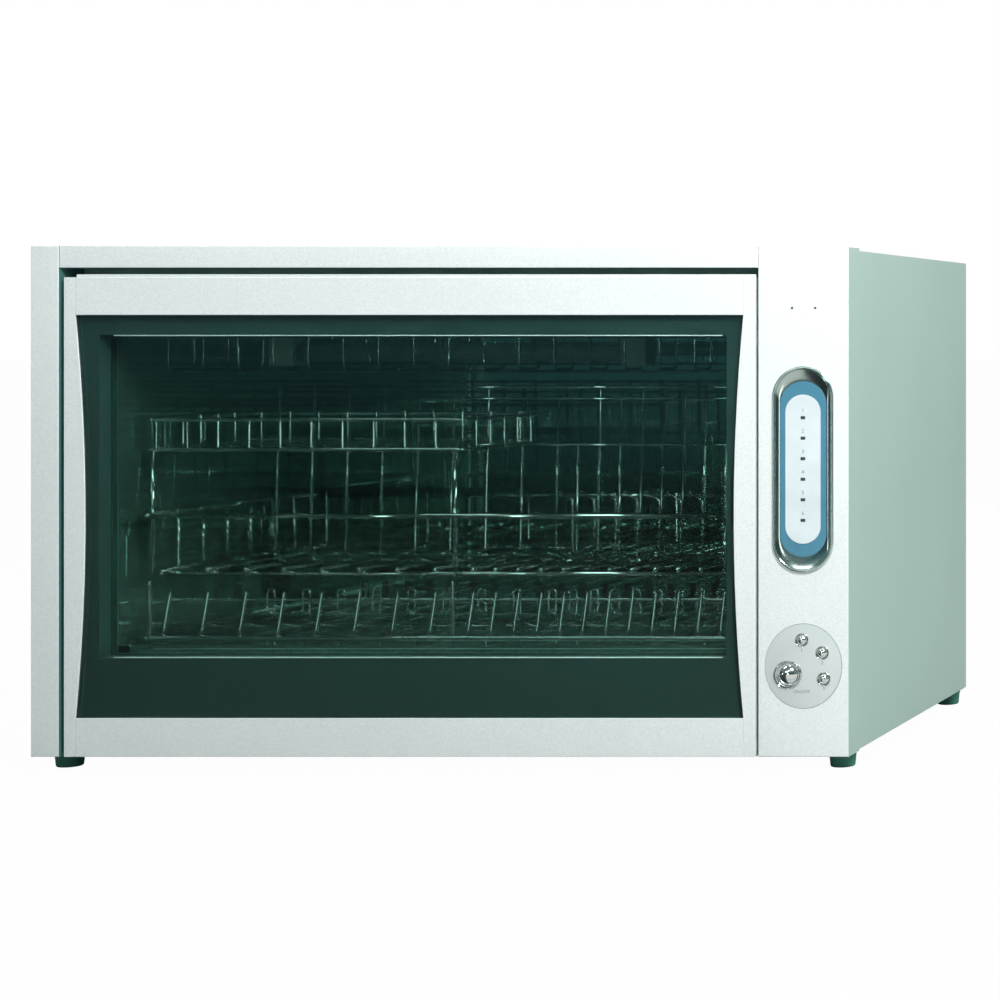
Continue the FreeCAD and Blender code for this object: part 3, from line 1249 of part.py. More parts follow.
def upper_rack_wires():
    """Upper rack's inner wires: floor, cross rails, the tall leaning fence and its rails, and bent tines."""
    places = wire_places()
    front = CRATE_D0 - FRAME_RADIUS
    back = CRATE_D1 + FRAME_RADIUS
    wires = [inwards(x, front, back, UPPER_FLOOR_Z, WIRE_RADIUS) for x in places]
    rail_z = UPPER_FLOOR_Z - WIRE_RADIUS - WELD_GAP - RAIL_RADIUS
    inset = FRAME_RADIUS + WELD_GAP
    for depth in (CH_D0 + TINE_DEPTH, CH_D0 + FENCE_DEPTH):
        wires.append(across(CRATE_X0 + inset, CRATE_X1 - inset, depth, rail_z, RAIL_RADIUS))
    foot = STAND_Z + WIRE_RADIUS * FENCE_LEAN / FENCE_HEIGHT
    top = STAND_Z + FENCE_HEIGHT
    for x in places:
        wires.append(rod(point(x, fence_depth(foot), foot), point(x, fence_depth(top), top), WIRE_RADIUS))
    basket_seat = BASKET_Z0 - BASKET_RIM_RADIUS - SEAT_GAP - RAIL_RADIUS
    for z in (top - RAIL_RADIUS, top - RAIL_RADIUS - FENCE_RAIL_STEP, basket_seat):
        depth = fence_depth(z) - WIRE_RADIUS - 2 * WELD_GAP - RAIL_RADIUS
        wires.append(across(places[0] - WIRE_RADIUS, places[-1] + WIRE_RADIUS, depth, z, RAIL_RADIUS))
    for x in places[WIDE_COUNT + 1:WIDE_COUNT + 1 + TINE_COUNT]:
        depth = CH_D0 + TINE_DEPTH
        route = [point(x, depth, STAND_Z), point(x, depth, STAND_Z + TINE_HEIGHT),
                 point(x - TINE_TIP_SIDE, depth, STAND_Z + TINE_HEIGHT + TINE_TIP_RISE)]
        wires.append(bent_wire(route, WIRE_RADIUS, TINE_BEND))
    return wires


def lower_rack_frame():
    """Lower rack's loop, its two cross rails and its two short front posts."""
    rods = rim_loop(RACK_X0, RACK_X1, RACK_D0, RACK_D1, LOWER_Z, RIM_RADIUS, RACK_CORNER)
    rail_z = LOWER_FLOOR_Z - WIRE_RADIUS - WELD_GAP - RAIL_RADIUS
    inset = RIM_RADIUS + WELD_GAP
    for depth in (CH_D0 + ARCH_DEPTH / 2.0, CH_D0 + ARCH_DEPTH):
        rods.append(across(RACK_X0 + inset, RACK_X1 - inset, depth, rail_z, RAIL_RADIUS))
    for x in POST_XS:
        rods.append(upright(x, RACK_D0, LOWER_Z + RIM_RADIUS + WELD_GAP,
                            CRATE_Z - FRAME_RADIUS - LOWER_POST_GAP, POST_RADIUS))
    return rods


def lower_rack_wires():
    """Lower rack's floor wires, front tines with their rail, and plate arches."""
    places = wire_places()
    front = RACK_D0 - RIM_RADIUS
    back = RACK_D1 + RIM_RADIUS
    wires = [inwards(x, front, back, LOWER_FLOOR_Z, WIRE_RADIUS) for x in places]
    lean = LOWER_TINE_LEAN / LOWER_TINE_HEIGHT
    foot_z = LOWER_FLOOR_Z + WIRE_RADIUS * (1.0 + lean) + WELD_GAP
    tip_z = foot_z + LOWER_TINE_HEIGHT
    for x in places:
        wires.append(rod(point(x, RACK_D0, foot_z), point(x, RACK_D0 + LOWER_TINE_LEAN, tip_z), WIRE_RADIUS))
    rail_z = foot_z + LOWER_RAIL_RISE
    rail_d = RACK_D0 + lean * LOWER_RAIL_RISE + (WIRE_RADIUS + RAIL_RADIUS) * math.hypot(1.0, lean) + WELD_GAP
    wires.append(across(places[0] - WIRE_RADIUS, places[-1] + WIRE_RADIUS, rail_d, rail_z, RAIL_RADIUS))
    arch_z = LOWER_FLOOR_Z - WIRE_RADIUS
    top = arch_z + ARCH_HEIGHT
    half = ARCH_WIDTH / 2.0
    for x in places:
        depth = CH_D0 + ARCH_DEPTH
        route = [point(x - half, depth, arch_z), point(x - half, depth, top), point(x + half, depth, top),
                 point(x + half, depth, arch_z)]
        wires.append(bent_wire(route, ARCH_WIRE_RADIUS, ARCH_BEND))
    return wires


def basket():
    """Shallow lift-out basket: two loops, uprights inside them and floor wires."""
    rods = rim_loop(BASKET_X0, BASKET_X1, BASKET_D0, BASKET_D1, BASKET_Z1, BASKET_RIM_RADIUS, BASKET_CORNER)
    rods += rim_loop(BASKET_X0, BASKET_X1, BASKET_D0, BASKET_D1, BASKET_Z0, BASKET_RIM_RADIUS, BASKET_CORNER)
    inset = BASKET_RIM_RADIUS + WELD_GAP + BASKET_WIRE_RADIUS
    low = BASKET_Z0 - BASKET_RIM_RADIUS
    high = BASKET_Z1 + BASKET_RIM_RADIUS
    floor_z = BASKET_Z0 + BASKET_RIM_RADIUS + WELD_GAP + BASKET_WIRE_RADIUS
    x = BASKET_X0 + BASKET_CORNER + BASKET_WIRE_RADIUS
    while x <= BASKET_X1 - BASKET_CORNER - BASKET_WIRE_RADIUS:
        for depth in (BASKET_D0 + inset, BASKET_D1 - inset):
            rods.append(upright(x, depth, low, high, BASKET_WIRE_RADIUS))
        between = x + BASKET_PITCH / 2.0
        if between <= BASKET_X1 - BASKET_CORNER:
            rods.append(inwards(between, BASKET_D0 - BASKET_RIM_RADIUS, BASKET_D1 + BASKET_RIM_RADIUS,
                                floor_z, BASKET_WIRE_RADIUS))
        x += BASKET_PITCH
    depth = BASKET_D0 + BASKET_PITCH
    while depth <= BASKET_D1 - BASKET_PITCH:
        for x in (BASKET_X0 + inset, BASKET_X1 - inset):
            rods.append(upright(x, depth, low, high, BASKET_WIRE_RADIUS))
        depth += BASKET_PITCH
    return rods


def drip_tray():
    """Shallow open tray on the chamber floor, between the lower runners."""
    side = LOWER_RUNNER_LEDGE + TRAY_SIDE_GAP
    x0, x1 = CH_X0 + side, CH_X1 - side
    d0 = CH_D0 + PANEL_SEAM
    d1 = CH_D1 - SHIELD_BACK_GAP - TRAY_REAR_GAP
    z0 = CH_Z0 + SEAT_GAP
    z1 = z0 + TRAY_HEIGHT
    solid = block(x0, x1, d0, d1, z0, z1)
    wall = TRAY_SHEET
    return solid.cut(block(x0 + wall, x1 - wall, d0 + wall, d1 - wall, z0 + wall, z1 + 1))


# ---------------------------------------------------------------- export
def main():
    """Builds every sub-part and writes it to parts/."""
    os.makedirs("parts", exist_ok=True)
    single = {
        "left_stile": left_stile, "top_rail": top_rail, "control_fascia": control_fascia,
        "top_panel": top_panel, "base_pan": base_pan, "rear_panel": rear_panel, "cable_gland": cable_gland,
        "chamber_frame": chamber_frame, "liner_floor": liner_floor, "liner_ceiling": liner_ceiling,
        "liner_left": liner_left, "liner_right": liner_right, "liner_back": liner_back,
        "uv_lamp_tube": uv_lamp_tube, "heater_tube": heater_tube, "heater_shield": heater_shield,
        "fan_housing": fan_housing, "fan_impeller": fan_impeller, "lamp_ballast": lamp_ballast,
        "ozone_generator": ozone_generator, "terminal_block": terminal_block, "door_switch": door_switch,
        "button_pad": button_pad, "pill_bezel": pill_bezel, "pill_plate": pill_plate,
        "pill_label_plate": pill_label_plate, "door_top_rail": door_top_rail,
        "door_bottom_rail": door_bottom_rail, "door_glass": door_glass, "door_inner_frame": door_inner_frame,
        "door_inner_glass": door_inner_glass,
        "door_back_plate": door_back_plate, "door_gasket": door_gasket, "drip_tray": drip_tray,
    }
    groups = {
        "feet": feet, "rear_screws": rear_screws, "liner_supports": liner_supports,
        "upper_runners": upper_runners, "lower_runners": lower_runners, "uv_lamp_holders": uv_lamp_holders,
        "uv_lamp_guard": uv_lamp_guard,
        "heater_holders": heater_holders, "button_rings": button_rings, "led_windows": led_windows,
        "display_board": display_board, "control_board": control_board, "board_standoffs": board_standoffs,
        "hinge_pins": hinge_pins, "hinge_brackets": hinge_brackets, "basket": basket,
    }
    for name, build in single.items():
        export(name, [build()])
    for name, build in groups.items():
        export(name, build())
    export("upper_rack", upper_rack_frame() + upper_rack_wires())
    export("lower_rack", lower_rack_frame() + lower_rack_wires())
    export("side_panel_left", [side_panel(-1)])
    export("side_panel_right", [side_panel(1)])
    export("door_stile_left", [door_stile(-1)])
    export("door_stile_right", [door_stile(1)])
    for name, x, z, radius, _ring in button_list():
        if name == POWER_BUTTON[0]:
            solid = button(x, z, radius, POWER_BUTTON_PROUD, POWER_BUTTON_DOME)
        else:
            solid = button(x, z, radius, SMALL_BUTTON_PROUD, SMALL_BUTTON_DOME)
        export(name, [solid])


main()
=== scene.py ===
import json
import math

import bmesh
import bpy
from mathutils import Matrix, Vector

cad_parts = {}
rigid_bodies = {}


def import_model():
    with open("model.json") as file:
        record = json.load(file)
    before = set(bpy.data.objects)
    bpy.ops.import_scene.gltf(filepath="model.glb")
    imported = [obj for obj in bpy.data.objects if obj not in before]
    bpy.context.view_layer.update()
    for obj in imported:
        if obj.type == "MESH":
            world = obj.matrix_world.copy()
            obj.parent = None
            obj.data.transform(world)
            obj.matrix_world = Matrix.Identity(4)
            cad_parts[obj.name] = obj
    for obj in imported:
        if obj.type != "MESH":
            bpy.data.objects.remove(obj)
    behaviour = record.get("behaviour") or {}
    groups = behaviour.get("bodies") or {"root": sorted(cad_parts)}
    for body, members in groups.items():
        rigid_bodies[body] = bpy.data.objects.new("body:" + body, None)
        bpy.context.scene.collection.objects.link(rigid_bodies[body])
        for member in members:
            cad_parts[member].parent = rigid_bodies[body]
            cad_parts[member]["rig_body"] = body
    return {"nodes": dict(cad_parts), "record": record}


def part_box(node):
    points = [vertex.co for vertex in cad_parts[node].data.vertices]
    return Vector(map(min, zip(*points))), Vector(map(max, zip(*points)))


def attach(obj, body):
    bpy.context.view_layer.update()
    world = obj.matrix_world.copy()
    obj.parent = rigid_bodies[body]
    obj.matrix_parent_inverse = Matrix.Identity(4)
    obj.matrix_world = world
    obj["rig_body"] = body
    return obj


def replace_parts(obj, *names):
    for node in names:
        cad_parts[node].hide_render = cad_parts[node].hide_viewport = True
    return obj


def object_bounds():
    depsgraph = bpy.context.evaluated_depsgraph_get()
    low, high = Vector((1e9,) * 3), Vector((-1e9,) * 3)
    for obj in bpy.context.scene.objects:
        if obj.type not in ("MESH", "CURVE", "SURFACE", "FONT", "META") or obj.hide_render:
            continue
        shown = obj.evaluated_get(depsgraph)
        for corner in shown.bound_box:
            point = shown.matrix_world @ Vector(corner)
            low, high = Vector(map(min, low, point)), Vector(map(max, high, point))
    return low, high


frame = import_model()

# %% [markdown]
# # A dish sterilizer cabinet
# The frame that was just loaded holds every bracket, sheet and wire at its real size. This lesson gives
# those pieces their finish, and models again, in finer detail, the ones that the eye goes to first: the
# door's bright edges, the bent wire racks, the long round-ended display and the polished buttons. All
# lengths are in metres. +X is right, +Y is back and +Z is up.

MM = 0.001
FRAME_LOW, FRAME_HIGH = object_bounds()
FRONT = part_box("control_fascia")[0].y
print("frame box in mm:", [round(c / MM, 1) for c in FRAME_LOW], [round(c / MM, 1) for c in FRAME_HIGH])

# %% [markdown]
# ## The camera
# A cabinet is often shown from well to one side with the film plane kept parallel to the front, so that
# the front stays a true rectangle while one side still shows. A Blender camera can shift its lens, but
# only so far before other views suffer. Here an ordinary camera hangs on a tripod, and its own link to
# the tripod is sheared, which slides the view sideways and keeps the front square.

# %% Camera on a sheared tripod link
PICTURE_SIDE = 1000
CABINET_WIDTH = 640 * MM
CABINET_PIXELS = 818.0
FRONT_CENTRE_PIXEL = 439.5
GROUND_PIXEL = 757.0
EYE_PIXEL = (1572.0, 335.0)
EYE_DISTANCE = 1.836
FOOT_HEIGHT = 12 * MM
SENSOR = 36.0
NEAREST, FARTHEST = 0.05, 60.0
metres_per_pixel = CABINET_WIDTH / CABINET_PIXELS


def front_point(pixel_x, pixel_y, depth=0.0):
    """The point of the front plane, or behind it, that a pixel of the picture stands for."""
    x = (pixel_x - FRONT_CENTRE_PIXEL) * metres_per_pixel
    z = (GROUND_PIXEL - pixel_y) * metres_per_pixel + FOOT_HEIGHT
    return Vector((x, FRONT + depth, z))


eye = front_point(*EYE_PIXEL, -EYE_DISTANCE)
centre = front_point(PICTURE_SIDE / 2, PICTURE_SIDE / 2)
backwards = (eye - centre).normalized()
distance = (eye - centre).length

tripod = bpy.data.objects.new("tripod", None)
bpy.context.scene.collection.objects.link(tripod)
tripod.location = eye
lens_data = bpy.data.cameras.new("camera")
lens_data.sensor_width = SENSOR
lens_data.lens = SENSOR * distance / (PICTURE_SIDE * metres_per_pixel)
lens_data.clip_start = NEAREST
lens_data.clip_end = FARTHEST
camera = bpy.data.objects.new("camera", lens_data)
bpy.context.scene.collection.objects.link(camera)
camera.parent = tripod
camera.matrix_parent_inverse = Matrix((
    (1, 0, backwards.x, 0),
    (0, 0, backwards.y, 0),
    (0, 1, backwards.z, 0),
    (0, 0, 0, 1),
))
bpy.context.scene.camera = camera
print("camera at", [round(c, 3) for c in eye], "lens", round(lens_data.lens, 1), "mm")

# %% [markdown]
# ## Studio
# The cabinet stands on a pale floor in front of a white surround. The white that the camera sees comes
# from the floor and the world through Light Path, which asks what kind of ray is looking, so the white
# adds no light to the cabinet. Polished metal sees a dimmer room, and rays that have passed through the
# door's glass a dark one: otherwise the mirror-like chamber behind the glass would shine as white as the
# surround.

# %% World
AMBIENT = 0.30
IN_METAL = 0.2
THROUGH_GLASS = 0.06
AIR_COLOUR = (0.70, 1.0, 0.97, 1)
WHITE = (1, 1, 1, 1)


def feed(tree, source, target):
    """Links a socket to an input, or types a plain number there."""
    if isinstance(source, (int, float)):
        target.default_value = source
    else:
        tree.links.new(source, target)


def by_ray(tree, kind, usual, special):
    """A number for one kind of ray, such as "Is Glossy Ray", and the usual one for all others."""
    choice = tree.nodes.new("ShaderNodeMapRange")
    feed(tree, tree.nodes.new("ShaderNodeLightPath").outputs[kind], choice.inputs["Value"])
    feed(tree, usual, choice.inputs["To Min"])
    feed(tree, special, choice.inputs["To Max"])
    return choice.outputs[0]


def mixed(tree, share, first, second, output):
    """Mixes two shaders by a share and joins the mix to an output node."""
    mix = tree.nodes.new("ShaderNodeMixShader")
    for number, source in enumerate((share, first, second)):
        tree.links.new(source, mix.inputs[number])
    tree.links.new(mix.outputs[0], output.inputs[0])


bpy.context.scene.view_settings.view_transform = "Standard"
world = bpy.data.worlds.new("surround")
bpy.context.scene.world = world
world.use_nodes = True
air = world.node_tree
air.nodes.clear()
light_air = air.nodes.new("ShaderNodeBackground")
light_air.inputs["Color"].default_value = AIR_COLOUR
outside_glass = by_ray(air, "Is Glossy Ray", AMBIENT, IN_METAL)
air_level = by_ray(air, "Is Transmission Ray", outside_glass, THROUGH_GLASS)
air.links.new(air_level, light_air.inputs["Strength"])
white_air = air.nodes.new("ShaderNodeBackground")
white_air.inputs["Color"].default_value = WHITE
mixed(air, by_ray(air, "Is Camera Ray", 0.0, 1.0), light_air.outputs[0], white_air.outputs[0],
      air.nodes.new("ShaderNodeOutputWorld"))
print("world light", AMBIENT)

# %% Floor
FLOOR_SIDE = 60.0
FLOOR_SHADE = 0.42
FLOOR_GLOW = 0.98


def flat_card(name, width, height, matrix, material):
    """A flat rectangle of the studio, put in place by a matrix."""
    card = bmesh.new()
    bmesh.ops.create_grid(card, x_segments=1, y_segments=1, size=0.5)
    bmesh.ops.scale(card, vec=(width, height, 1), verts=card.verts)
    bmesh.ops.transform(card, matrix=matrix, verts=card.verts)
    mesh = bpy.data.meshes.new(name)
    card.to_mesh(mesh)
    card.free()
    mesh.materials.append(material)
    made = bpy.data.objects.new(name, mesh)
    bpy.context.scene.collection.objects.link(made)
    return made


floor_paint = bpy.data.materials.new("floor_paint")
floor_paint.use_nodes = True
paint = floor_paint.node_tree
paint.nodes.clear()
floor_matt = paint.nodes.new("ShaderNodeBsdfDiffuse")
floor_tone = by_ray(paint, "Is Transmission Ray", FLOOR_SHADE, THROUGH_GLASS)
paint.links.new(floor_tone, floor_matt.inputs["Color"])
floor_glow = paint.nodes.new("ShaderNodeEmission")
floor_glow.inputs["Color"].default_value = WHITE
mixed(paint, by_ray(paint, "Is Camera Ray", 0.0, FLOOR_GLOW), floor_matt.outputs[0], floor_glow.outputs[0],
      paint.nodes.new("ShaderNodeOutputMaterial"))
flat_card("floor", FLOOR_SIDE, FLOOR_SIDE, Matrix(), floor_paint)
print("floor side", FLOOR_SIDE, "m")

# %% [markdown]
# ## Cards
# Glass and polished metal look like what stands round them. Dark cards lie and stand in front of the door
# and to its sides, so that the glass isn't milky and the chrome has dark lines. A pale card on the floor
# does for the control column what a white table top would. Two narrow strips and a high panel put thin
# highlights on the wires. Through the door's glass the strips glow more strongly, because the glass dims
# them, and the panel less. Only reflections and refractions see the cards.

# %% Finishes of the cards
CARD_BASE = (0.01, 0.014, 0.014, 1)


def card_finish(name, colour, glow, inside=None):
    """A card of one even glow; inside is its glow as seen through the door's glass."""
    material = bpy.data.materials.new(name)
    material.use_nodes = True
    tree = material.node_tree
    shader = tree.nodes["Principled BSDF"]
    shader.inputs["Base Color"].default_value = CARD_BASE
    shader.inputs["Roughness"].default_value = 1.0
    shader.inputs["Emission Color"].default_value = colour
    shader.inputs["Emission Strength"].default_value = glow
    if inside is not None:
        level = by_ray(tree, "Is Transmission Ray", glow, inside)
        tree.links.new(level, shader.inputs["Emission Strength"])
    return material


dark_card = card_finish("dark_card", (0.3, 0.85, 1.0, 1), 0.4)
side_card = card_finish("side_card", (0.3, 0.85, 0.8, 1), 0.05)
pale_card = card_finish("pale_card", (1.0, 0.98, 0.92, 1), 0.62, THROUGH_GLASS)
strip_card = card_finish("strip_card", (1.0, 1.0, 0.98, 1), 4.0, 17.0)
panel_card = card_finish("panel_card", (1.0, 1.0, 0.98, 1), 5.0, 1.6)
print("five card finishes")

# %% [markdown]
# The dark card is darkest at the floor and a little paler higher up and to the right, as a dim room is.
# Its glow is the height above the floor times a slant that grows to the right.

# %% Slanted glow of the dark card
SLANT_ACROSS = 0.15
SLANT_START = 0.5
dim = dark_card.node_tree
card_place = dim.nodes.new("ShaderNodeTexCoord")
card_axes = dim.nodes.new("ShaderNodeSeparateXYZ")
card_slant = dim.nodes.new("ShaderNodeMath")
card_slant.operation = "MULTIPLY_ADD"
card_level = dim.nodes.new("ShaderNodeMath")
card_level.operation = "MULTIPLY"
feed(dim, card_place.outputs["Object"], card_axes.inputs[0])
for number, source in enumerate((card_axes.outputs["X"], SLANT_ACROSS, SLANT_START)):
    feed(dim, source, card_slant.inputs[number])
for number, source in enumerate((card_axes.outputs["Z"], card_slant.outputs[0])):
    feed(dim, source, card_level.inputs[number])
feed(dim, card_level.outputs[0], dim.nodes["Principled BSDF"].inputs["Emission Strength"])
print("dark card nodes:", len(dim.nodes))

# %% [markdown]
# A flat mirror shows the floor along straight lines of sight, so the sides of the lying cards follow the
# lines that the door's edges mirror to the camera. That way no strip of bare floor shows in the glass.

# %% Cards that lie on the floor
CARD_DISTANCE = 2.3
CARD_LIFT = 1 * MM
EYE_AWAY = FRONT - eye.y
GLASS_LOW, GLASS_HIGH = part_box("door_glass")
LYING_CARDS = (
    # name, left and right side as (edge of the glass, shift), near and far distance, finish
    ("lying_card", (GLASS_LOW.x, -0.1), (GLASS_HIGH.x, 0.02), 0.0, CARD_DISTANCE, dark_card),
    ("pale_floor_card", (GLASS_HIGH.x, 0.03), (GLASS_HIGH.x, 1.4), 0.1, CARD_DISTANCE, pale_card),
)


def mirrored(glass_x, away):
    """Where the glass front mirrors the floor to the camera: x at a distance in front."""
    return glass_x + (glass_x - eye.x) * away / EYE_AWAY


cards = []
for name, left, right, near, far, card_material in LYING_CARDS:
    card = flat_card(name, 1.0, 1.0, Matrix.Translation((0, 0, CARD_LIFT)), card_material)
    for corner in card.data.vertices:
        away = near if corner.co.y > 0 else far
        edge_x, shift = left if corner.co.x < 0 else right
        corner.co.x = mirrored(edge_x, away) + shift
        corner.co.y = FRONT - away
    cards.append(card)
print("lying cards:", len(cards))

# %% Cards that stand
BACKDROP_WIDTH = 2.9
BACKDROP_HEIGHT = 0.62
STANDING_CARDS = (
    # name, middle, width, height, height of the point over the origin that it faces, finish
    ("right_dark", (1.4, -2.35, 0.4), 2.2, 0.8, 0.45, side_card),
    ("left_dark", (-2.3, -1.1, 0.4), 1.6, 0.8, 0.45, side_card),
    ("right_card", (0.2, -1.73, 0.18), 0.13, 0.36, 0.2, strip_card),
    ("left_card", (-1.75, -1.7, 0.2), 0.2, 0.4, 0.2, strip_card),
    ("high_card", (-0.25, -1.73, 0.74), 0.45, 0.26, 0.2, panel_card),
)
backdrop_x = mirrored(GLASS_HIGH.x, CARD_DISTANCE) - BACKDROP_WIDTH / 2
backdrop = Matrix.Translation((backdrop_x, FRONT - CARD_DISTANCE, BACKDROP_HEIGHT / 2))
backdrop = backdrop @ Matrix.Rotation(math.pi / 2, 4, "X")
cards.append(flat_card("standing_card", BACKDROP_WIDTH, BACKDROP_HEIGHT, backdrop, dark_card))
for name, middle, width, height, aim_height, card_material in STANDING_CARDS:
    facing = (Vector((0, 0, aim_height)) - Vector(middle)).to_track_quat("Z", "Y").to_matrix().to_4x4()
    cards.append(flat_card(name, width, height, Matrix.Translation(middle) @ facing, card_material))
for card in cards:
    card.visible_camera = False
    card.visible_diffuse = False
    card.visible_shadow = False
    card.visible_volume_scatter = False
print(len(cards), "cards in all")

# %% [markdown]
# ## Lamps
# A soft lamp close to the right front corner makes the front fall off gently to the left, and a small one
# over the left of the brow holds up the top rail there. Wide lamps farther off fill in the front, the
# sides, back and top.

# %% Lamps
LAMPS = (
    # name, place, aim, width, height, watts
    ("key", (0.78, -0.92, 0.95), (0.25, -0.18, 0.32), 0.3, 0.3, 14.4),
    ("front", (0.3, -2.6, 1.6), (0.0, -0.18, 0.2), 0.5, 0.5, 3.0),
    ("brow", (-0.22, -0.45, 0.75), (-0.22, -0.18, 0.38), 0.4, 0.1, 0.75),
    ("side", (1.9, 0.35, 0.9), (0.32, 0.0, 0.2), 0.8, 0.8, 11.0),
    ("far_side", (-2.0, 0.6, 1.0), (-0.32, 0.0, 0.2), 0.8, 0.8, 7.0),
    ("back", (0.3, 2.4, 1.2), (0.0, 0.18, 0.2), 1.4, 1.0, 25.0),
    ("top", (0.1, 0.1, 2.4), (0.0, 0.0, 0.4), 1.4, 1.0, 17.0),
)
for name, place, aim, width, height, watts in LAMPS:
    lamp_data = bpy.data.lights.new(name, "AREA")
    lamp_data.shape = "RECTANGLE"
    lamp_data.size = width
    lamp_data.size_y = height
    lamp_data.energy = watts
    lamp = bpy.data.objects.new(name, lamp_data)
    lamp.location = place
    lamp.rotation_euler = (Vector(aim) - Vector(place)).to_track_quat("-Z", "Y").to_euler()
    bpy.context.scene.collection.objects.link(lamp)
print("lamps", [row[0] for row in LAMPS])

# %% [markdown]
# ## Shared surface effects
# Several finishes share the same kind of detail: paint with metal flake, steel that was brushed one way,
# moulded rubber with a fine grain, and the faint marks that hands leave. Each of these is built once as a
# node group with named sockets, and every finish then uses it with its own values.

# %% Helper for node groups
SURFACE = (("Colour", "colour"), ("Roughness", "value"), ("Normal", "normal"))


class Effect:
    """A node group under construction, with short ways to add nodes and join them."""

    def __init__(self, name, inputs, outputs=SURFACE):
        self.tree = bpy.data.node_groups.new(name, "ShaderNodeTree")
        kinds = {"value": "NodeSocketFloat", "colour": "NodeSocketColor", "normal": "NodeSocketVector"}
        for socket_name, kind, start in inputs:
            socket = self.tree.interface.new_socket(socket_name, in_out="INPUT", socket_type=kinds[kind])
            socket.default_value = start
        for socket_name, kind in outputs:
            self.tree.interface.new_socket(socket_name, in_out="OUTPUT", socket_type=kinds[kind])
        self.inside = self.tree.nodes.new("NodeGroupInput")
        self.out = self.tree.nodes.new("NodeGroupOutput")

    def node(self, kind, **settings):
        """Adds a node and sets its properties."""
        added = self.tree.nodes.new(kind)
        for key, value in settings.items():
            setattr(added, key, value)
        return added

    def join(self, source, target):
        """Feeds an input from a socket or a plain number."""
        feed(self.tree, source, target)

    def given(self, name):
        """An input of the group, as its nodes see it."""
        return self.inside.outputs[name]

    def give(self, name, source):
        """Sends a socket to an output of the group."""
        self.join(source, self.out.inputs[name])

    def maths(self, operation, first, second):
        """A Math node fed by sockets or plain numbers."""
        added = self.node("ShaderNodeMath", operation=operation)
        self.join(first, added.inputs[0])
        self.join(second, added.inputs[1])
        return added.outputs[0]

    def coordinates(self, stretch=(1, 1, 1)):
        """The piece's own coordinates in metres, stretched along the axes."""
        place = self.node("ShaderNodeTexCoord")
        mapping = self.node("ShaderNodeMapping")
        mapping.inputs["Scale"].default_value = stretch
        self.join(place.outputs["Object"], mapping.inputs["Vector"])
        return mapping.outputs[0]

    def noise(self, vector, scale, detail):
        """A noise value around 0.5; scale is a number or a socket, in waves per metre."""
        added = self.node("ShaderNodeTexNoise")
        self.join(vector, added.inputs["Vector"])
        self.join(scale, added.inputs["Scale"])
        self.join(detail, added.inputs["Detail"])
        return added.outputs["Fac"]

    def swing(self, vector, scale, detail):
        """A noise value around 0."""
        return self.maths("SUBTRACT", self.noise(vector, scale, detail), 0.5)

    def shade(self, colour, factor):
        """The colour times a grey factor."""
        added = self.node("ShaderNodeVectorMath", operation="SCALE")
        self.join(colour, added.inputs[0])
        self.join(factor, added.inputs["Scale"])
        return added.outputs[0]

    def bump(self, height, strength, depth):
        """The normal tilted by a height."""
        added = self.node("ShaderNodeBump")
        self.join(height, added.inputs["Height"])
        self.join(strength, added.inputs["Strength"])
        self.join(depth, added.inputs["Distance"])
        return added.outputs[0]


print("effect helper ready")

# %% Flake paint
CLOUDS_PER_METRE = 7.0
FLAKE_TILT = 0.12
FLAKE_DEPTH = 0.03 * MM
flake = Effect("flake_paint", (
    ("Colour", "colour", (0.6, 0.6, 0.6, 1)), ("Flakes", "value", 1200.0), ("Contrast", "value", 0.06),
    ("Cloud", "value", 0.1), ("Roughness", "value", 0.5), ("Bump", "value", 0.1),
))
where = flake.coordinates()
cells = flake.node("ShaderNodeTexVoronoi")
flake.join(where, cells.inputs["Vector"])
flake.join(flake.given("Flakes"), cells.inputs["Scale"])
cell_parts = flake.node("ShaderNodeSeparateColor")
flake.join(cells.outputs["Color"], cell_parts.inputs[0])
spark = flake.maths("SUBTRACT", cell_parts.outputs[0], 0.5)
spark_share = flake.maths("MULTIPLY", spark, flake.given("Contrast"))
cloud = flake.swing(where, CLOUDS_PER_METRE, 4.0)
cloud_share = flake.maths("MULTIPLY", cloud, flake.given("Cloud"))
brightness = flake.maths("ADD", flake.maths("ADD", spark_share, cloud_share), 1.0)
flake.give("Colour", flake.shade(flake.given("Colour"), brightness))
rough_shift = flake.maths("MULTIPLY", flake.maths("ADD", spark, cloud), FLAKE_TILT)
flake.give("Roughness", flake.maths("ADD", flake.given("Roughness"), rough_shift))
flake.give("Normal", flake.bump(cell_parts.outputs[1], flake.given("Bump"), FLAKE_DEPTH))
print("flake_paint:", len(flake.tree.nodes), "nodes")

# %% Brushed steel
STROKE_STRETCH = (12, 700, 700)
STAINS_PER_METRE = 14.0
STAIN_SHADE, STAIN_ROUGHNESS = 0.15, 0.7
STROKE_DEPTH = 0.05 * MM
brushed = Effect("brushed_steel", (
    ("Colour", "colour", (0.6, 0.6, 0.6, 1)), ("Contrast", "value", 0.2), ("Roughness", "value", 0.35),
    ("Bump", "value", 0.2),
))
strokes = brushed.noise(brushed.coordinates(STROKE_STRETCH), 1.0, 5.0)
stroke_swing = brushed.maths("SUBTRACT", strokes, 0.5)
stroke_share = brushed.maths("MULTIPLY", stroke_swing, brushed.given("Contrast"))
stained = brushed.swing(brushed.coordinates(), STAINS_PER_METRE, 4.0)
stain_share = brushed.maths("MULTIPLY", stained, STAIN_SHADE)
steel_shade = brushed.maths("ADD", brushed.maths("ADD", stroke_share, 1.0), stain_share)
brushed.give("Colour", brushed.shade(brushed.given("Colour"), steel_shade))
stain_grip = brushed.maths("ADD", brushed.maths("MULTIPLY", stained, STAIN_ROUGHNESS), 1.0)
brushed.give("Roughness", brushed.maths("MULTIPLY", brushed.given("Roughness"), stain_grip))
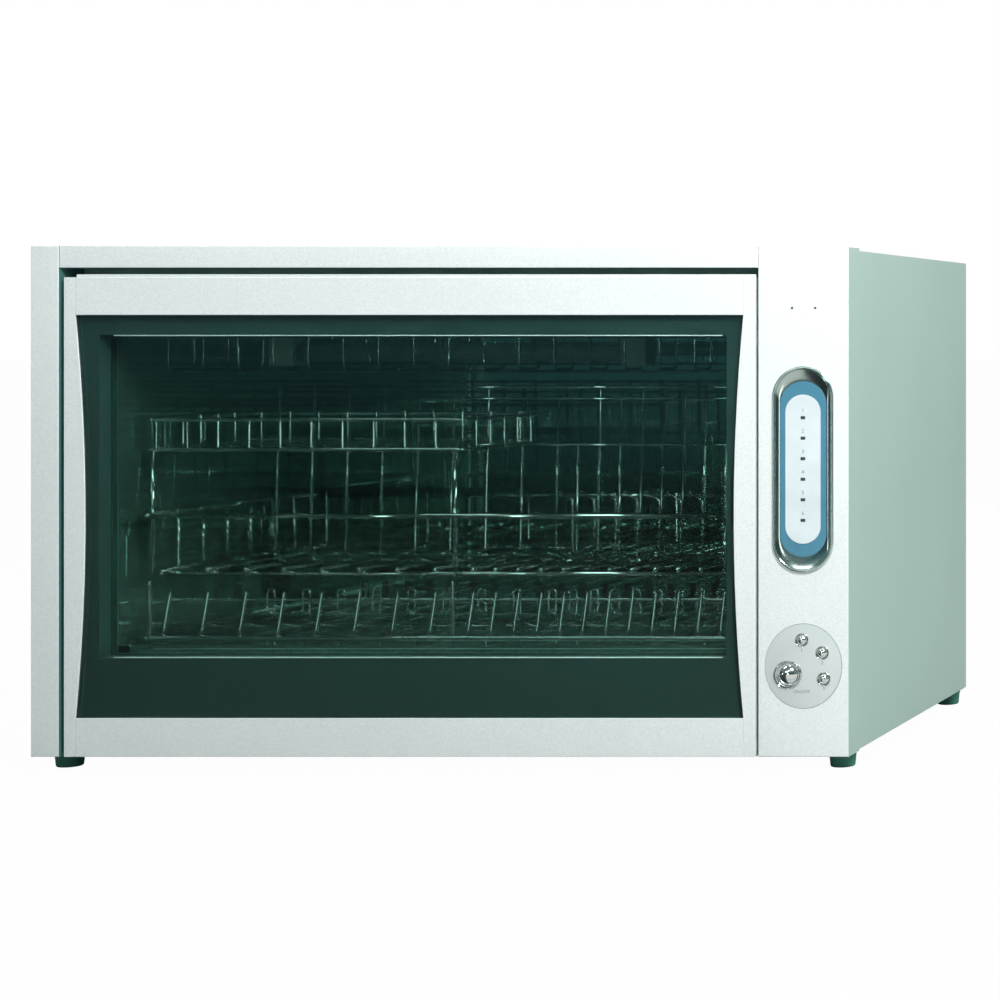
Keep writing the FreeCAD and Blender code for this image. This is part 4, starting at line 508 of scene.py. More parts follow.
brushed.give("Normal", brushed.bump(strokes, brushed.given("Bump"), STROKE_DEPTH))
print("brushed_steel:", len(brushed.tree.nodes), "nodes")

# %% Moulded grain
BLOOM_PER_METRE = 30.0
BLOOM_SHADE, BLOOM_ROUGHNESS = 0.35, 0.2
PIT_DEPTH = 0.08 * MM
moulded = Effect("moulded_grain", (
    ("Colour", "colour", (0.1, 0.1, 0.1, 1)), ("Grain", "value", 900.0), ("Roughness", "value", 0.6),
    ("Bump", "value", 0.3),
))
pits = moulded.noise(moulded.coordinates(), moulded.given("Grain"), 2.0)
bloom = moulded.swing(moulded.coordinates(), BLOOM_PER_METRE, 3.0)
moulded_shade = moulded.maths("ADD", moulded.maths("MULTIPLY", bloom, BLOOM_SHADE), 1.0)
moulded.give("Colour", moulded.shade(moulded.given("Colour"), moulded_shade))
bloom_share = moulded.maths("MULTIPLY", bloom, BLOOM_ROUGHNESS)
moulded.give("Roughness", moulded.maths("ADD", moulded.given("Roughness"), bloom_share))
moulded.give("Normal", moulded.bump(pits, moulded.given("Bump"), PIT_DEPTH))
print("moulded_grain:", len(moulded.tree.nodes), "nodes")

# %% Hand marks
SMEAR_STRETCH = (1, 1, 1.6)
SMEAR_BAND = (0.45, 0.75)
marks = Effect(
    "hand_marks",
    (("Low", "value", 0.02), ("High", "value", 0.1), ("Size", "value", 25.0)),
    (("Roughness", "value"),),
)
smears = marks.noise(marks.coordinates(SMEAR_STRETCH), marks.given("Size"), 6.0)
mark_band = marks.node("ShaderNodeMapRange")
sources = (smears, *SMEAR_BAND, marks.given("Low"), marks.given("High"))
for source, socket_name in zip(sources, ("Value", "From Min", "From Max", "To Min", "To Max")):
    marks.join(source, mark_band.inputs[socket_name])
marks.give("Roughness", mark_band.outputs[0])
print("hand_marks:", len(marks.tree.nodes), "nodes")

# %% [markdown]
# ## Finishes
# Every finish is one material with one Principled shader. Its colour, roughness and normal come from an
# effect above; what is the same all over, such as how metallic it is, is typed on the shader itself.

# %% Helper for finishes
FINISHES = {}


def finish(name, effect, *values, **shader_values):
    """A material fed by an effect, whose inputs take the values in their order."""
    material = bpy.data.materials.new(name)
    material.use_nodes = True
    tree = material.node_tree
    shader = tree.nodes["Principled BSDF"]
    for socket_name, value in shader_values.items():
        shader.inputs[socket_name.replace("_", " ")].default_value = value
    group = tree.nodes.new("ShaderNodeGroup")
    group.node_tree = effect.tree
    for socket, value in zip(group.inputs, values):
        socket.default_value = value
    targets = {"Colour": "Base Color", "Roughness": "Roughness", "Normal": "Normal"}
    for output in group.outputs:
        tree.links.new(output, shader.inputs[targets[output.name]])
    FINISHES[name] = material


print("finish helper ready")

# %% Paints
# colour, flakes, contrast, cloud, roughness, bump
finish("trim_silver", flake, (0.84, 0.87, 0.87, 1), 1500.0, 0.14, 0.05, 0.42, 0.12, Metallic=0.1)
finish("shell_paint", flake, (0.38, 0.50, 0.45, 1), 900.0, 0.05, 0.08, 0.58, 0.25, Metallic=0.1,
       Specular_IOR_Level=0.25)
finish("pad_silver", flake, (0.72, 0.77, 0.77, 1), 2200.0, 0.03, 0.02, 0.36, 0.0, Metallic=0.3)
finish("frame_black", flake, (0.01, 0.034, 0.031, 1))
# Dark teal for the faces in the door's gap, as painted shade, and for the pad's dark joint line.
finish("gap_shade_and_joint_paint", flake, (0.08, 0.22, 0.205, 1))
# Teal for the jamb in place of its zinc: painted shade, the tone that the shaded gap round the door shows.
finish("gap_shade_jamb_paint", flake, (0.48, 0.74, 0.69, 1))
print("paints:", list(FINISHES))

# %% Brushed metals
# colour, contrast, roughness, bump
finish("zinc_steel", brushed, (0.50, 0.55, 0.54, 1), 0.15, 0.45, 0.15, Metallic=0.9)
# The liners' stainless is a dark green-grey: painted shade of the dim chamber behind the green glass, over
# the steel's own grey.
finish("stainless", brushed, (0.31, 0.45, 0.41, 1), 0.08, 0.03, 0.02, Metallic=0.9)
finish("brass_posts", brushed, (0.72, 0.5, 0.22, 1), 0.1, 0.3, Metallic=1.0)
print(len(FINISHES), "paints and brushed metals")

# %% Plated metals and lamp windows
# lowest roughness, highest roughness, marks per metre
finish("rack_wire", marks, 0.08, 0.14, 60.0, Metallic=1.0, Base_Color=(0.82, 0.86, 0.85, 1))
finish("chrome", marks, 0.12, 0.16, 40.0, Metallic=1.0, Base_Color=(0.86, 0.90, 0.89, 1))
# The bezel's chrome is a darker, greener copy of the chrome: a painted reflection of the dim green room.
finish("bezel_reflection_chrome", marks, 0.12, 0.16, 40.0, Metallic=1.0, Base_Color=(0.56, 0.68, 0.66, 1))
# The lamp guard's wire is a darker copy of the rack wire: painted shade.
finish("shaded_guard_wire", marks, 0.15, 0.3, 60.0, Metallic=1.0, Base_Color=(0.22, 0.27, 0.26, 1))
finish("led_dark", marks, 0.12, 0.3, 200.0, Base_Color=(0.05, 0.075, 0.075, 1))
print(len(FINISHES), "finishes so far")

# %% Rubber, plastic, ceramic and ink
# colour, grain, roughness, bump
finish("rubber", moulded, (0.010, 0.045, 0.034, 1), 1500.0, 0.7)
# The feet's rubber is a paler copy of the rubber: painted light for the feet in the shade under the cabinet.
finish("foot_rubber_painted_light", moulded, (0.04, 0.18, 0.135, 1), 1500.0, 0.7)
finish("ceramic", moulded, (0.08, 0.11, 0.10, 1), 700.0, 0.5)
finish("black_plastic", moulded, (0.02, 0.022, 0.025, 1), 1100.0, 0.5)
finish("ballast_white", moulded, (0.7, 0.7, 0.68, 1), 800.0, 0.45)
finish("circuit_board", moulded, (0.02, 0.16, 0.07, 1), 500.0, 0.35)
finish("panel_ink", moulded, (0.20, 0.25, 0.25, 1), 2000.0, 0.5)
LACQUER = {"Coat_Weight": 0.4, "Coat_Roughness": 0.08}
finish("pill_blue", moulded, (0.07, 0.235, 0.34, 1), 300.0, 0.3, 0.05, **LACQUER)
finish("pill_white", moulded, (0.70, 0.76, 0.79, 1), 300.0, 0.3, 0.04, **LACQUER)
print(len(FINISHES), "finishes so far")

# %% [markdown]
# ## Glass
# Light that passes a sheet of glass would be lost to the lamps, because a shadow ray doesn't bend. So
# each glass turns clear, with a tint, for the rays that ask whether a lamp is in sight, and stays real
# glass for all others.

# %% Glass
GLASSES = (
    # name, lowest and highest roughness, marks per metre, colour, transmission, IOR, tint of its shadow
    ("tinted_glass", 0.0, 0.02, 9.0, (0.70, 0.82, 0.79, 1), 1.0, 1.5, (0.79, 0.9, 0.88, 1)),
    ("clear_glass", 0.0, 0.02, 12.0, (0.86, 0.95, 0.92, 1), 1.0, 1.5, (0.93, 0.97, 0.96, 1)),
    ("lamp_glass", 0.05, 0.1, 40.0, (0.4, 0.47, 0.46, 1), 0.9, 1.45, (0.95, 0.97, 0.98, 1)),
)
for name, low, high, size, colour, share, bending, tint in GLASSES:
    finish(name, marks, low, high, size, Base_Color=colour, Transmission_Weight=share, IOR=bending)
    tree = FINISHES[name].node_tree
    clear = tree.nodes.new("ShaderNodeBsdfTransparent")
    clear.inputs["Color"].default_value = tint
    mixed(tree, tree.nodes.new("ShaderNodeLightPath").outputs["Is Shadow Ray"],
          tree.nodes["Principled BSDF"].outputs[0], clear.outputs[0], tree.nodes["Material Output"])
print(len(FINISHES), "finishes in all")

# %% Give every carried-over piece its finish
OWN_FINISH = {
    # The lamp guard takes a darker wire as painted shade.
    "uv_lamp_guard": "shaded_guard_wire",
    # The jamb takes teal in place of its zinc, as painted shade of the gap.
    "chamber_frame": "gap_shade_jamb_paint",
    # The door's back plate takes the frame's near-black as painted shade where it shows in the window.
    "door_back_plate": "frame_black",
}
slots = {row["node"]: row["material_slot"] for row in frame["record"]["subparts"]}
for node_name, node_object in frame["nodes"].items():
    for slot in node_object.material_slots:
        slot.material = FINISHES[OWN_FINISH.get(node_name, slots[node_name])]
print(len(slots), "pieces painted")

# %% [markdown]
# ## Soft edges on the pressed and moulded parts
# Folded sheet, painted metal and moulded plastic never have razor edges: a narrow round edge is what
# catches the light and draws the bright line along a door frame. The carried-over meshes are loose
# triangles, so each piece is copied, its triangles are welded and flat areas are joined, and a Bevel
# modifier rounds what is still sharp.

# %% Helper for finished pieces
SHARP = 35.0
SEAM = 0.002 * MM


def show(name, mesh, body, slot_name, finish_name=None):
    """Makes an object of a mesh, gives it a finish and lets it ride on a body."""
    mesh.materials.clear()
    mesh.materials.append(FINISHES[finish_name or slot_name])
    made = bpy.data.objects.new(name, mesh)
    bpy.context.scene.collection.objects.link(made)
    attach(made, body)
    return made


def piece(solid, name, body, slot_name, finish_name=None, angle=SHARP):
    """Shows a finished bmesh with smooth shading that stops at edges sharper than an angle in degrees."""
    mesh = bpy.data.meshes.new(name)
    solid.to_mesh(mesh)
    solid.free()
    mesh.polygons.foreach_set("use_smooth", [True] * len(mesh.polygons))
    mesh.set_sharp_from_angle(angle=math.radians(angle))
    return show(name, mesh, body, slot_name, finish_name)


def body_of(node_name):
    """The body that a carried-over piece rides on."""
    return frame["nodes"][node_name]["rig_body"]


print("piece helper ready")

# %% Helper for rounded copies
WELD = 0.01 * MM
FLAT = 0.5


def rounded(node_name, width):
    """A welded copy of a carried-over piece with rounded edges, which stands for it."""
    solid = bmesh.new()
    solid.from_mesh(frame["nodes"][node_name].data)
    bmesh.ops.remove_doubles(solid, verts=solid.verts, dist=WELD)
    bmesh.ops.dissolve_limit(solid, angle_limit=math.radians(FLAT), verts=solid.verts, edges=solid.edges)
    bmesh.ops.recalc_face_normals(solid, faces=solid.faces)
    copy = piece(solid, node_name + "_rounded", body_of(node_name), slots[node_name])
    edge = copy.modifiers.new("round_edge", "BEVEL")
    edge.width = width
    edge.segments = 3
    edge.limit_method = "ANGLE"
    edge.angle_limit = math.radians(SHARP)
    edge.harden_normals = True
    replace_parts(copy, node_name)


print("rounding helper ready")

# %% Round the pieces that show
EDGE_WIDTHS = {
    # in millimetres
    "control_fascia": 0.3, "left_stile": 0.5, "top_rail": 0.5,
    "door_top_rail": 0.45, "door_bottom_rail": 0.45, "door_stile_left": 0.45, "door_stile_right": 0.45,
    "side_panel_left": 0.4, "side_panel_right": 0.4, "top_panel": 0.4, "door_inner_frame": 0.35,
    "pill_plate": 0.3, "pill_label_plate": 0.2, "led_windows": 0.15,
    "uv_lamp_holders": 1.2, "heater_holders": 1.0, "terminal_block": 0.8, "lamp_ballast": 1.0,
    "ozone_generator": 1.5, "fan_housing": 0.8,
}
for node_name, width in EDGE_WIDTHS.items():
    rounded(node_name, width * MM)
print(len(EDGE_WIDTHS), "pieces have soft edges")

# %% [markdown]
# The outer flanks of the stile and the fascia are sprayed with the shell's green-grey paint, because the
# shell is painted with them in place. The faces inside the narrow gap round the door are painted a dark
# teal, which is painted shade of the gap. Faces are chosen by the way that they look, and the flanks also by
# where they are.

# %% Paint the outer flanks and the gap
ACROSS, UP = 0, 2
FACING = 0.8
OUTER = FRAME_HIGH.x - 0.5 * MM
REPAINTED = (
    # piece, finish, axis, direction along it, how far out a face has to be
    ("left_stile", "shell_paint", ACROSS, -1, OUTER),
    ("control_fascia", "shell_paint", ACROSS, 1, OUTER),
    ("left_stile", "gap_shade_and_joint_paint", ACROSS, 1, -math.inf),
    ("control_fascia", "gap_shade_and_joint_paint", ACROSS, -1, -math.inf),
    ("top_rail", "gap_shade_and_joint_paint", UP, -1, -math.inf),
)
for node_name, finish_name, axis, sign, reach in REPAINTED:
    mesh = bpy.data.objects[node_name + "_rounded"].data
    mesh.materials.append(FINISHES[finish_name])
    chosen = [face for face in mesh.polygons
              if face.normal[axis] * sign > FACING and face.center[axis] * sign > reach]
    for face in chosen:
        face.material_index = len(mesh.materials) - 1
    print(node_name, finish_name, len(chosen), "faces")

# %% [markdown]
# ## The display's chrome bezel
# The bezel is one pressed and plated ring: a half-round lip outside, a fine groove, and a dished slope
# that runs down to the plate. Every step of its cross-section is the same stadium outline with another
# size and depth, so it is built as a row of such outlines, each joined to the next.

# %% Helper for upright outlines


def stood_up(solid, corners, centre, depth):
    """Turns a flat outline upright at a depth behind the front. Returns its edges."""
    bmesh.ops.transform(solid, matrix=Matrix.Rotation(math.pi / 2, 4, "X"), verts=corners)
    bmesh.ops.translate(solid, vec=(centre.x, FRONT + depth, centre.z), verts=corners)
    return [edge for edge in solid.edges if edge.verts[0] in corners and edge.verts[1] in corners]


def joined(solid, rings):
    """Joins every outline to the next one, and the last to the first."""
    for near, far in zip(rings, rings[1:] + rings[:1]):
        bmesh.ops.bridge_loops(solid, edges=near + far)
    bmesh.ops.recalc_face_normals(solid, faces=solid.faces)


def stadium_loop(solid, centre, width, height, depth, segments=96):
    """A ring of edges like a running track: two half circles with straight lines between them."""
    corners = bmesh.ops.create_circle(solid, segments=segments, radius=width / 2)["verts"]
    bmesh.ops.transform(solid, matrix=Matrix.Rotation(math.pi / segments, 4, "Z"), verts=corners)
    for corner in corners:
        corner.co.y += math.copysign((height - width) / 2, corner.co.y)
    return stood_up(solid, corners, centre, depth)


bezel_low, bezel_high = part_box("pill_bezel")
plate_low, plate_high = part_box("pill_plate")
pill_centre = (bezel_low + bezel_high) / 2
bezel_size = bezel_high - bezel_low
plate_size = plate_high - plate_low
print("bezel in mm:", [round(c / MM, 1) for c in bezel_size])

# %% The bezel's cross-section
LIP_RADIUS = 1.2 * MM
LIP_STEPS = 8
GROOVE_WIDTH = 0.25 * MM
GROOVE_DEPTH = 1.1 * MM
SLOPE_TOP, SLOPE_FOOT = 2.2 * MM, 1.05 * MM
SLOPE_STEPS = 8
DISH = 1.7
FIT = 0.15 * MM
proud = bezel_size.y
slope_start = 2 * LIP_RADIUS + GROOVE_WIDTH
slope_end = (bezel_size.x - plate_size.x) / 2 - FIT
sections = [(0.0, 0.0)]
for step in range(LIP_STEPS):
    turn = math.pi * step / LIP_STEPS
    sections.append((LIP_RADIUS * (1 - math.cos(turn)), LIP_RADIUS * (1 - math.sin(turn)) - proud))
sections.append((2 * LIP_RADIUS, GROOVE_DEPTH - proud))
for step in range(SLOPE_STEPS + 1):
    share = step / SLOPE_STEPS
    dished = 1 - (1 - share) ** DISH
    inset = slope_start + (slope_end - slope_start) * share
    sections.append((inset, -SLOPE_TOP + (SLOPE_TOP - SLOPE_FOOT) * dished))
sections.append((slope_end, 0.0))
print(len(sections), "outlines across the bezel")

# %% Bezel
long_slope = (bezel_size.z - plate_size.z) / 2 - FIT
bezel = bmesh.new()
rings = []
for inset, depth in sections:
    along = inset
    if inset > slope_start:
        along = slope_start + (inset - slope_start) * (long_slope - slope_start) / (slope_end - slope_start)
    width, height = bezel_size.x - 2 * inset, bezel_size.z - 2 * along
    rings.append(stadium_loop(bezel, pill_centre, width, height, depth))
joined(bezel, rings)
print("bezel faces:", len(bezel.faces))
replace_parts(piece(bezel, "display_bezel", "root", "chrome", "bezel_reflection_chrome", 50.0), "pill_bezel")

# %% [markdown]
# ## Turned buttons and their rings
# Buttons and rings are round, so each is a half cross-section that is spun once round its own axis. A
# button is a polished ball cap with a short skirt, a stop flange behind the fascia and a stem that
# reaches its switch. A ring is a shallow funnel with a rolled lip.

# %% Helper for turned pieces
BACK, UPWARDS = Vector((0, 1, 0)), Vector((0, 0, 1))


def turned(name, profile, foot, axis, body, slot_name, finish_name=None, steps=64, angle=40.0):
    """Spins pairs of (radius, distance along the axis) round an axis that starts at a point."""
    solid = bmesh.new()
    corners = [solid.verts.new(foot + axis * along + Vector((radius, 0, 0))) for radius, along in profile]
    line = [solid.edges.new(pair) for pair in zip(corners, corners[1:])]
    bmesh.ops.spin(solid, geom=corners + line, cent=foot, axis=axis, angle=2 * math.pi, steps=steps,
                   use_merge=True)
    bmesh.ops.remove_doubles(solid, verts=solid.verts, dist=SEAM)
    bmesh.ops.recalc_face_normals(solid, faces=solid.faces)
    return piece(solid, name, body, slot_name, finish_name, angle)


def arc(centre, radius, start, end, steps):
    """Points of an arc; angles are in degrees, 0 along the radius and 90 to the front."""
    turns = [math.radians(start + (end - start) * step / steps) for step in range(steps + 1)]
    return [(centre[0] + radius * math.cos(turn), centre[1] - radius * math.sin(turn)) for turn in turns]


print("turning helper ready")

# %% Helper for the rings
RUNNING_FIT = 0.1 * MM
RING_PROUD = 2.0 * MM
RING_LIP = 0.3 * MM
FUNNEL_EDGE = 0.15 * MM
FUNNEL_STEPS = 6


def ring_profile(inner, outer):
    """The cross-section of a ring: a funnel that widens to a rolled lip."""
    profile = [(inner, 0.0), (inner, -FUNNEL_EDGE)]
    for step in range(1, FUNNEL_STEPS + 1):
        share = step / FUNNEL_STEPS
        profile.append((inner + (outer - 2 * RING_LIP - inner) * share ** 0.8,
                        -FUNNEL_EDGE - (RING_PROUD - RING_LIP - FUNNEL_EDGE) * share ** 1.4))
    profile += arc((outer - RING_LIP, RING_LIP - RING_PROUD), RING_LIP, 150.0, 0.0, 8)
    return profile + [(outer, 0.0), (inner, 0.0)]


print("ring helper ready")

# %% Buttons and rings
BUTTONS = (
    # name, dome height, ring width
    ("power_button", 6.0 * MM, 1.9 * MM),
    ("light_button", 2.9 * MM, 1.2 * MM),
    ("dry_button", 2.9 * MM, 1.2 * MM),
    ("steam_button", 2.9 * MM, 1.2 * MM),
)
FLANGE_FRONT, FLANGE_BACK = 1.5 * MM, 3.0 * MM
FLANGE_WIDTH = 1.5 * MM
STEM_RADIUS = 2.0 * MM
SKIRT_EDGE = 0.35 * MM
NOSE_ANGLE = 88.0
for name, dome_height, ring_width in BUTTONS:
    low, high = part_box(name)
    spot = Vector(((low.x + high.x) / 2, FRONT, (low.z + high.z) / 2))
    flange_radius = (high.x - low.x) / 2
    radius = flange_radius - FLANGE_WIDTH
    nose, stem_end = low.y - FRONT, high.y - FRONT
    ball = (radius ** 2 + dome_height ** 2) / (2 * dome_height)
    rim_angle = math.degrees(math.asin((ball - dome_height) / ball))
    profile = [(0.0, nose)] + arc((0.0, nose + ball), ball, NOSE_ANGLE, rim_angle, 16)
    profile += [(radius, nose + dome_height + SKIRT_EDGE), (radius, FLANGE_FRONT),
                (flange_radius, FLANGE_FRONT), (flange_radius, FLANGE_BACK),
                (STEM_RADIUS, FLANGE_BACK), (STEM_RADIUS, stem_end), (0.0, stem_end)]
    button = turned(name + "_turned", profile, spot, BACK, body_of(name), "chrome")
    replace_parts(button, name)
    inner = radius + RUNNING_FIT
    turned(name + "_ring", ring_profile(inner, inner + ring_width), spot, BACK, "root", "chrome", angle=60.0)
print("turned", len(BUTTONS), "buttons and rings")

# %% [markdown]
# One object stands for the four carried-over rings: the first new ring says so, and the others ride
# beside it.

# %% The rings replace the carried-over ones
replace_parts(bpy.data.objects["power_button_ring"], "button_rings")

# %% [markdown]
# ## Printing on the panel
# The panel's printing is plain: a number over each lamp window and at each small button, and ON/OFF at
# the large one. Letters start as text, become mesh, and are laid on the surface a few hundredths of a
# millimetre thick, which is about what a screen-printed ink is.

# %% Helper for printed marks
INK_THICKNESS = 0.04 * MM


def printed(name, words, centre, front_depth, height, slot_name, crown=None):
    """Thin raised print on a surface facing the front: flat, or wrapped on a crown (centre, radius)."""
    text = bpy.data.curves.new(name, "FONT")
    text.body = words
    text.size = height
    text.align_x = "CENTER"
    text.align_y = "CENTER"
    text.extrude = INK_THICKNESS / 2
    text.resolution_u = 3
    holder = bpy.data.objects.new(name + "_text", text)
    mesh = bpy.data.meshes.new_from_object(holder)
    bpy.data.objects.remove(holder)
    mesh.name = name
    upright = Matrix.Rotation(math.pi / 2, 4, "X")
    mesh.transform(Matrix.Translation((centre.x, FRONT + front_depth, centre.z)) @ upright)
    if crown:
        for corner in mesh.vertices:
            away = math.hypot(corner.co.x - crown[0].x, corner.co.z - crown[0].z)
            corner.co.y += crown[1] - math.sqrt(crown[1] ** 2 - away ** 2)
    show(name, mesh, "root", slot_name, "panel_ink")


print("print helper ready")

# %% Numbers beside the lamp windows
NUMBER_HEIGHT = 4.4 * MM
NUMBER_RISE = 5.6 * MM
LED_COUNT = 6
LED_HEIGHT = 2.3 * MM
label_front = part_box("pill_label_plate")[0].y - FRONT
led_low, led_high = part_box("led_windows")
led_pitch = (led_high.z - led_low.z - LED_HEIGHT) / (LED_COUNT - 1)
for number in range(LED_COUNT):
    spot = Vector((pill_centre.x, 0, led_high.z - LED_HEIGHT / 2 - number * led_pitch + NUMBER_RISE))
    words = str(number + 1)
    printed("lamp_number_" + words, words, spot, label_front, NUMBER_HEIGHT, "pill_white")
print("printed", LED_COUNT, "numbers")

# %% Numbers and words on the pad
PAD_PRINT_HEIGHT = 3.6 * MM
PAD_CROWN = 380 * MM
PAD_PRINT = (
    # name, words, offset in millimetres across and up from the pad's centre
    ("pad_number_1", "1", -0.9, 12.6),
    ("pad_number_2", "2", 15.1, 2.6),
    ("pad_number_3", "3", 16.2, -17.6),
    ("pad_on_off", "ON/OFF", -1.0, -20.0),
)
pad_low, pad_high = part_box("button_pad")
pad_centre = (pad_low + pad_high) / 2
for name, words, across, up in PAD_PRINT:
    spot = Vector((pad_centre.x + across * MM, 0, pad_centre.z + up * MM))
    printed(name, words, spot, pad_low.y - FRONT, PAD_PRINT_HEIGHT, "pad_silver", (pad_centre, PAD_CROWN))
print("printed", len(PAD_PRINT), "marks on the pad")

# %% [markdown]
# ## The pad's joint line
# The oval pad sits in a matching hole with a hair of a gap, which reads as a thin dark line. The line is
# a flat ring between two ovals, a few hundredths of a millimetre proud of the fascia.

# %% Joint line
JOINT_WIDTH = 0.35 * MM
JOINT_PROUD = 0.05 * MM


def oval_loop(solid, centre, width, height, depth, segments=128):
    """A ring of edges in the shape of an oval."""
    corners = bmesh.ops.create_circle(solid, segments=segments, radius=0.5)["verts"]
    bmesh.ops.scale(solid, vec=(width, height, 1), verts=corners)
    return stood_up(solid, corners, centre, depth)


joint = bmesh.new()
pad_size = pad_high - pad_low
rings = []
for grow, depth in ((0.0, 0.0), (0.0, -JOINT_PROUD), (JOINT_WIDTH, -JOINT_PROUD), (JOINT_WIDTH, 0.0)):
    rings.append(oval_loop(joint, pad_centre, pad_size.x + 2 * grow, pad_size.z + 2 * grow, depth))
joined(joint, rings)
print("pad joint faces:", len(joint.faces))
piece(joint, "pad_joint", "root", "frame_black", "gap_shade_and_joint_paint")

# %% [markdown]
# ## Rubber feet
# Each foot is a turned rubber button: a wide shoulder under the base, sides that draw in towards the
# floor, a rounded edge and a shallow hollow underneath, so that it grips with its rim.

# %% A foot's cross-section
FOOT_SHOULDER = 10.9 * MM
FOOT_SOLE = 9.6 * MM
FOOT_ROUND = 1.6 * MM
FOOT_HOLLOW = 1.2 * MM
RIM_WIDTH, RIM_SLOPE = 3.6 * MM, 0.9 * MM
SHOULDER_HEIGHT, SHOULDER_SLOPE, SHOULDER_STEP = 1.2 * MM, 0.6 * MM, 0.5 * MM
base_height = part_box("control_fascia")[0].z
sole_rim = FOOT_SOLE - RIM_WIDTH
shoulder_low = base_height - SHOULDER_HEIGHT
foot_profile = [(0.0, FOOT_HOLLOW), (sole_rim - RIM_SLOPE, FOOT_HOLLOW), (sole_rim, 0.0)]
for turn in (0.0, 0.4, 0.8, 1.2, math.pi / 2):
    foot_profile.append((FOOT_SOLE - FOOT_ROUND * (1 - math.sin(turn)), FOOT_ROUND * (1 - math.cos(turn))))
foot_profile += [(FOOT_SHOULDER - SHOULDER_STEP, shoulder_low - SHOULDER_SLOPE),
                 (FOOT_SHOULDER, shoulder_low), (FOOT_SHOULDER, base_height), (0.0, base_height)]
print("foot corners:", len(foot_profile))

# %% Turned feet
feet_corners = [corner.co for corner in frame["nodes"]["feet"].data.vertices]
for side_name, side in (("left", -1), ("right", 1)):
    for end_name, end in (("front", -1), ("rear", 1)):
        own = [corner for corner in feet_corners if corner.x * side > 0 and corner.y * end > 0]
        foot_x = (min(corner.x for corner in own) + max(corner.x for corner in own)) / 2
        foot_y = (min(corner.y for corner in own) + max(corner.y for corner in own)) / 2
        name = "foot_" + end_name + "_" + side_name
        spot = Vector((foot_x, foot_y, 0))
        foot = turned(name, foot_profile, spot, UPWARDS, "root", "rubber", "foot_rubber_painted_light", 48, 50.0)
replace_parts(foot, "feet")
print("feet turned, shoulder", round(FOOT_SHOULDER / MM, 1), "mm")

# %% [markdown]
# ## The end of the door's lip
# A low lip runs along the door's top. Its last stretch lies on the right stile and is bright where the
# light catches its end.

# %% Lip end
LIP_SHEET = 1.5 * MM
LIP_GAP = 0.3 * MM
BAR_EDGE = 0.2 * MM


def soft_bar(name, low, size, body, slot_name):
    """A straight bar with soft edges, from its lowest corner and its size."""
    bar = bmesh.new()
    bmesh.ops.create_cube(bar, size=1.0)
    bmesh.ops.scale(bar, vec=size, verts=bar.verts)
    bmesh.ops.translate(bar, vec=low + size / 2, verts=bar.verts)
    bmesh.ops.bevel(bar, geom=bar.edges, offset=BAR_EDGE, affect="EDGES", segments=2, profile=0.5,
                    material=-1)
    piece(bar, name, body, slot_name)
    print(name, "in mm:", [round(c / MM, 1) for c in size])


rail_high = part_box("door_top_rail")[1]
stile_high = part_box("door_stile_right")[1]
lip_low = Vector((rail_high.x, FRONT + LIP_SHEET, stile_high.z))
lip_size = Vector((stile_high.x - rail_high.x - LIP_GAP, LIP_SHEET, rail_high.z - stile_high.z))
soft_bar("door_lip_end", lip_low, lip_size, body_of("door_top_rail"), "trim_silver")

# %% [markdown]
# ## Edging of the chamber's mouth
# The sheet round the chamber's mouth has a dark rubber edging, which wraps its cut edge and stops half a
# millimetre short of the door's gasket. Its darkness is painted shade, for the mouth where it shows through
# the window. It starts as one rectangular outline, which is extruded from corner to corner of the edging's
# cross-section until it is back where it began, and the two ends are merged.

# %% Where the mouth is


def opening(node_name):
    """The lowest and the highest corner of a sheet's opening, at the sheet's front."""
    corners = [corner.co for corner in frame["nodes"][node_name].data.vertices]
    low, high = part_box(node_name)
    middle = (low + high) / 2
    heights = [corner.z for corner in corners if corner.x < middle.x]
    left = max(corner.x for corner in corners if corner.x < middle.x)
    right = min(corner.x for corner in corners if corner.x > middle.x)
    bottom = max(height for height in heights if height < middle.z)
    top = min(height for height in heights if height > middle.z)
    return Vector((left, low.y, bottom)), Vector((right, low.y, top))


mouth_low, mouth_high = opening("chamber_frame")
mouth_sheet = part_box("chamber_frame")[1].y - mouth_low.y
print("mouth in mm:", [round(c / MM, 1) for c in mouth_high - mouth_low])

# %% Mouth edging
EDGING_REACH = 5.5 * MM
EDGING_SHEET = 0.6 * MM
EDGING_WRAP = 0.2 * MM
EDGING_SECTION = (
    # how far outside the opening, how far in front of the sheet
    (-EDGING_WRAP, -mouth_sheet), (-EDGING_WRAP, EDGING_SHEET), (EDGING_REACH, EDGING_SHEET),
    (EDGING_REACH, 0.0), (0.0, 0.0), (0.0, -mouth_sheet),
)


def set_outline(corners, grow, proud):
    """Moves four corners to a rectangle round the mouth, each to the side where it already is."""
    middle = (mouth_low + mouth_high) / 2
    for corner in corners:
        corner.co.x = mouth_high.x + grow if corner.co.x > middle.x else mouth_low.x - grow
        corner.co.y = mouth_low.y - proud
        corner.co.z = mouth_high.z + grow if corner.co.z > middle.z else mouth_low.z - grow


edging = bmesh.new()
upright = Matrix.Translation((mouth_low + mouth_high) / 2) @ Matrix.Rotation(math.pi / 2, 4, "X")
bmesh.ops.create_grid(edging, x_segments=1, y_segments=1, size=MM, matrix=upright)
bmesh.ops.delete(edging, geom=edging.faces[:], context="FACES_ONLY")
set_outline(edging.verts, *EDGING_SECTION[0])
ring = edging.edges[:]
for grow, proud in EDGING_SECTION[1:] + EDGING_SECTION[:1]:
    grown = bmesh.ops.extrude_edge_only(edging, edges=ring)["geom"]
    set_outline([part for part in grown if isinstance(part, bmesh.types.BMVert)], grow, proud)
    ring = [part for part in grown if isinstance(part, bmesh.types.BMEdge) and part.is_boundary]
bmesh.ops.remove_doubles(edging, verts=edging.verts, dist=SEAM)
bmesh.ops.recalc_face_normals(edging, faces=edging.faces)
print("mouth edging faces:", len(edging.faces))
piece(edging, "mouth_shade_edging", "root", "rubber")
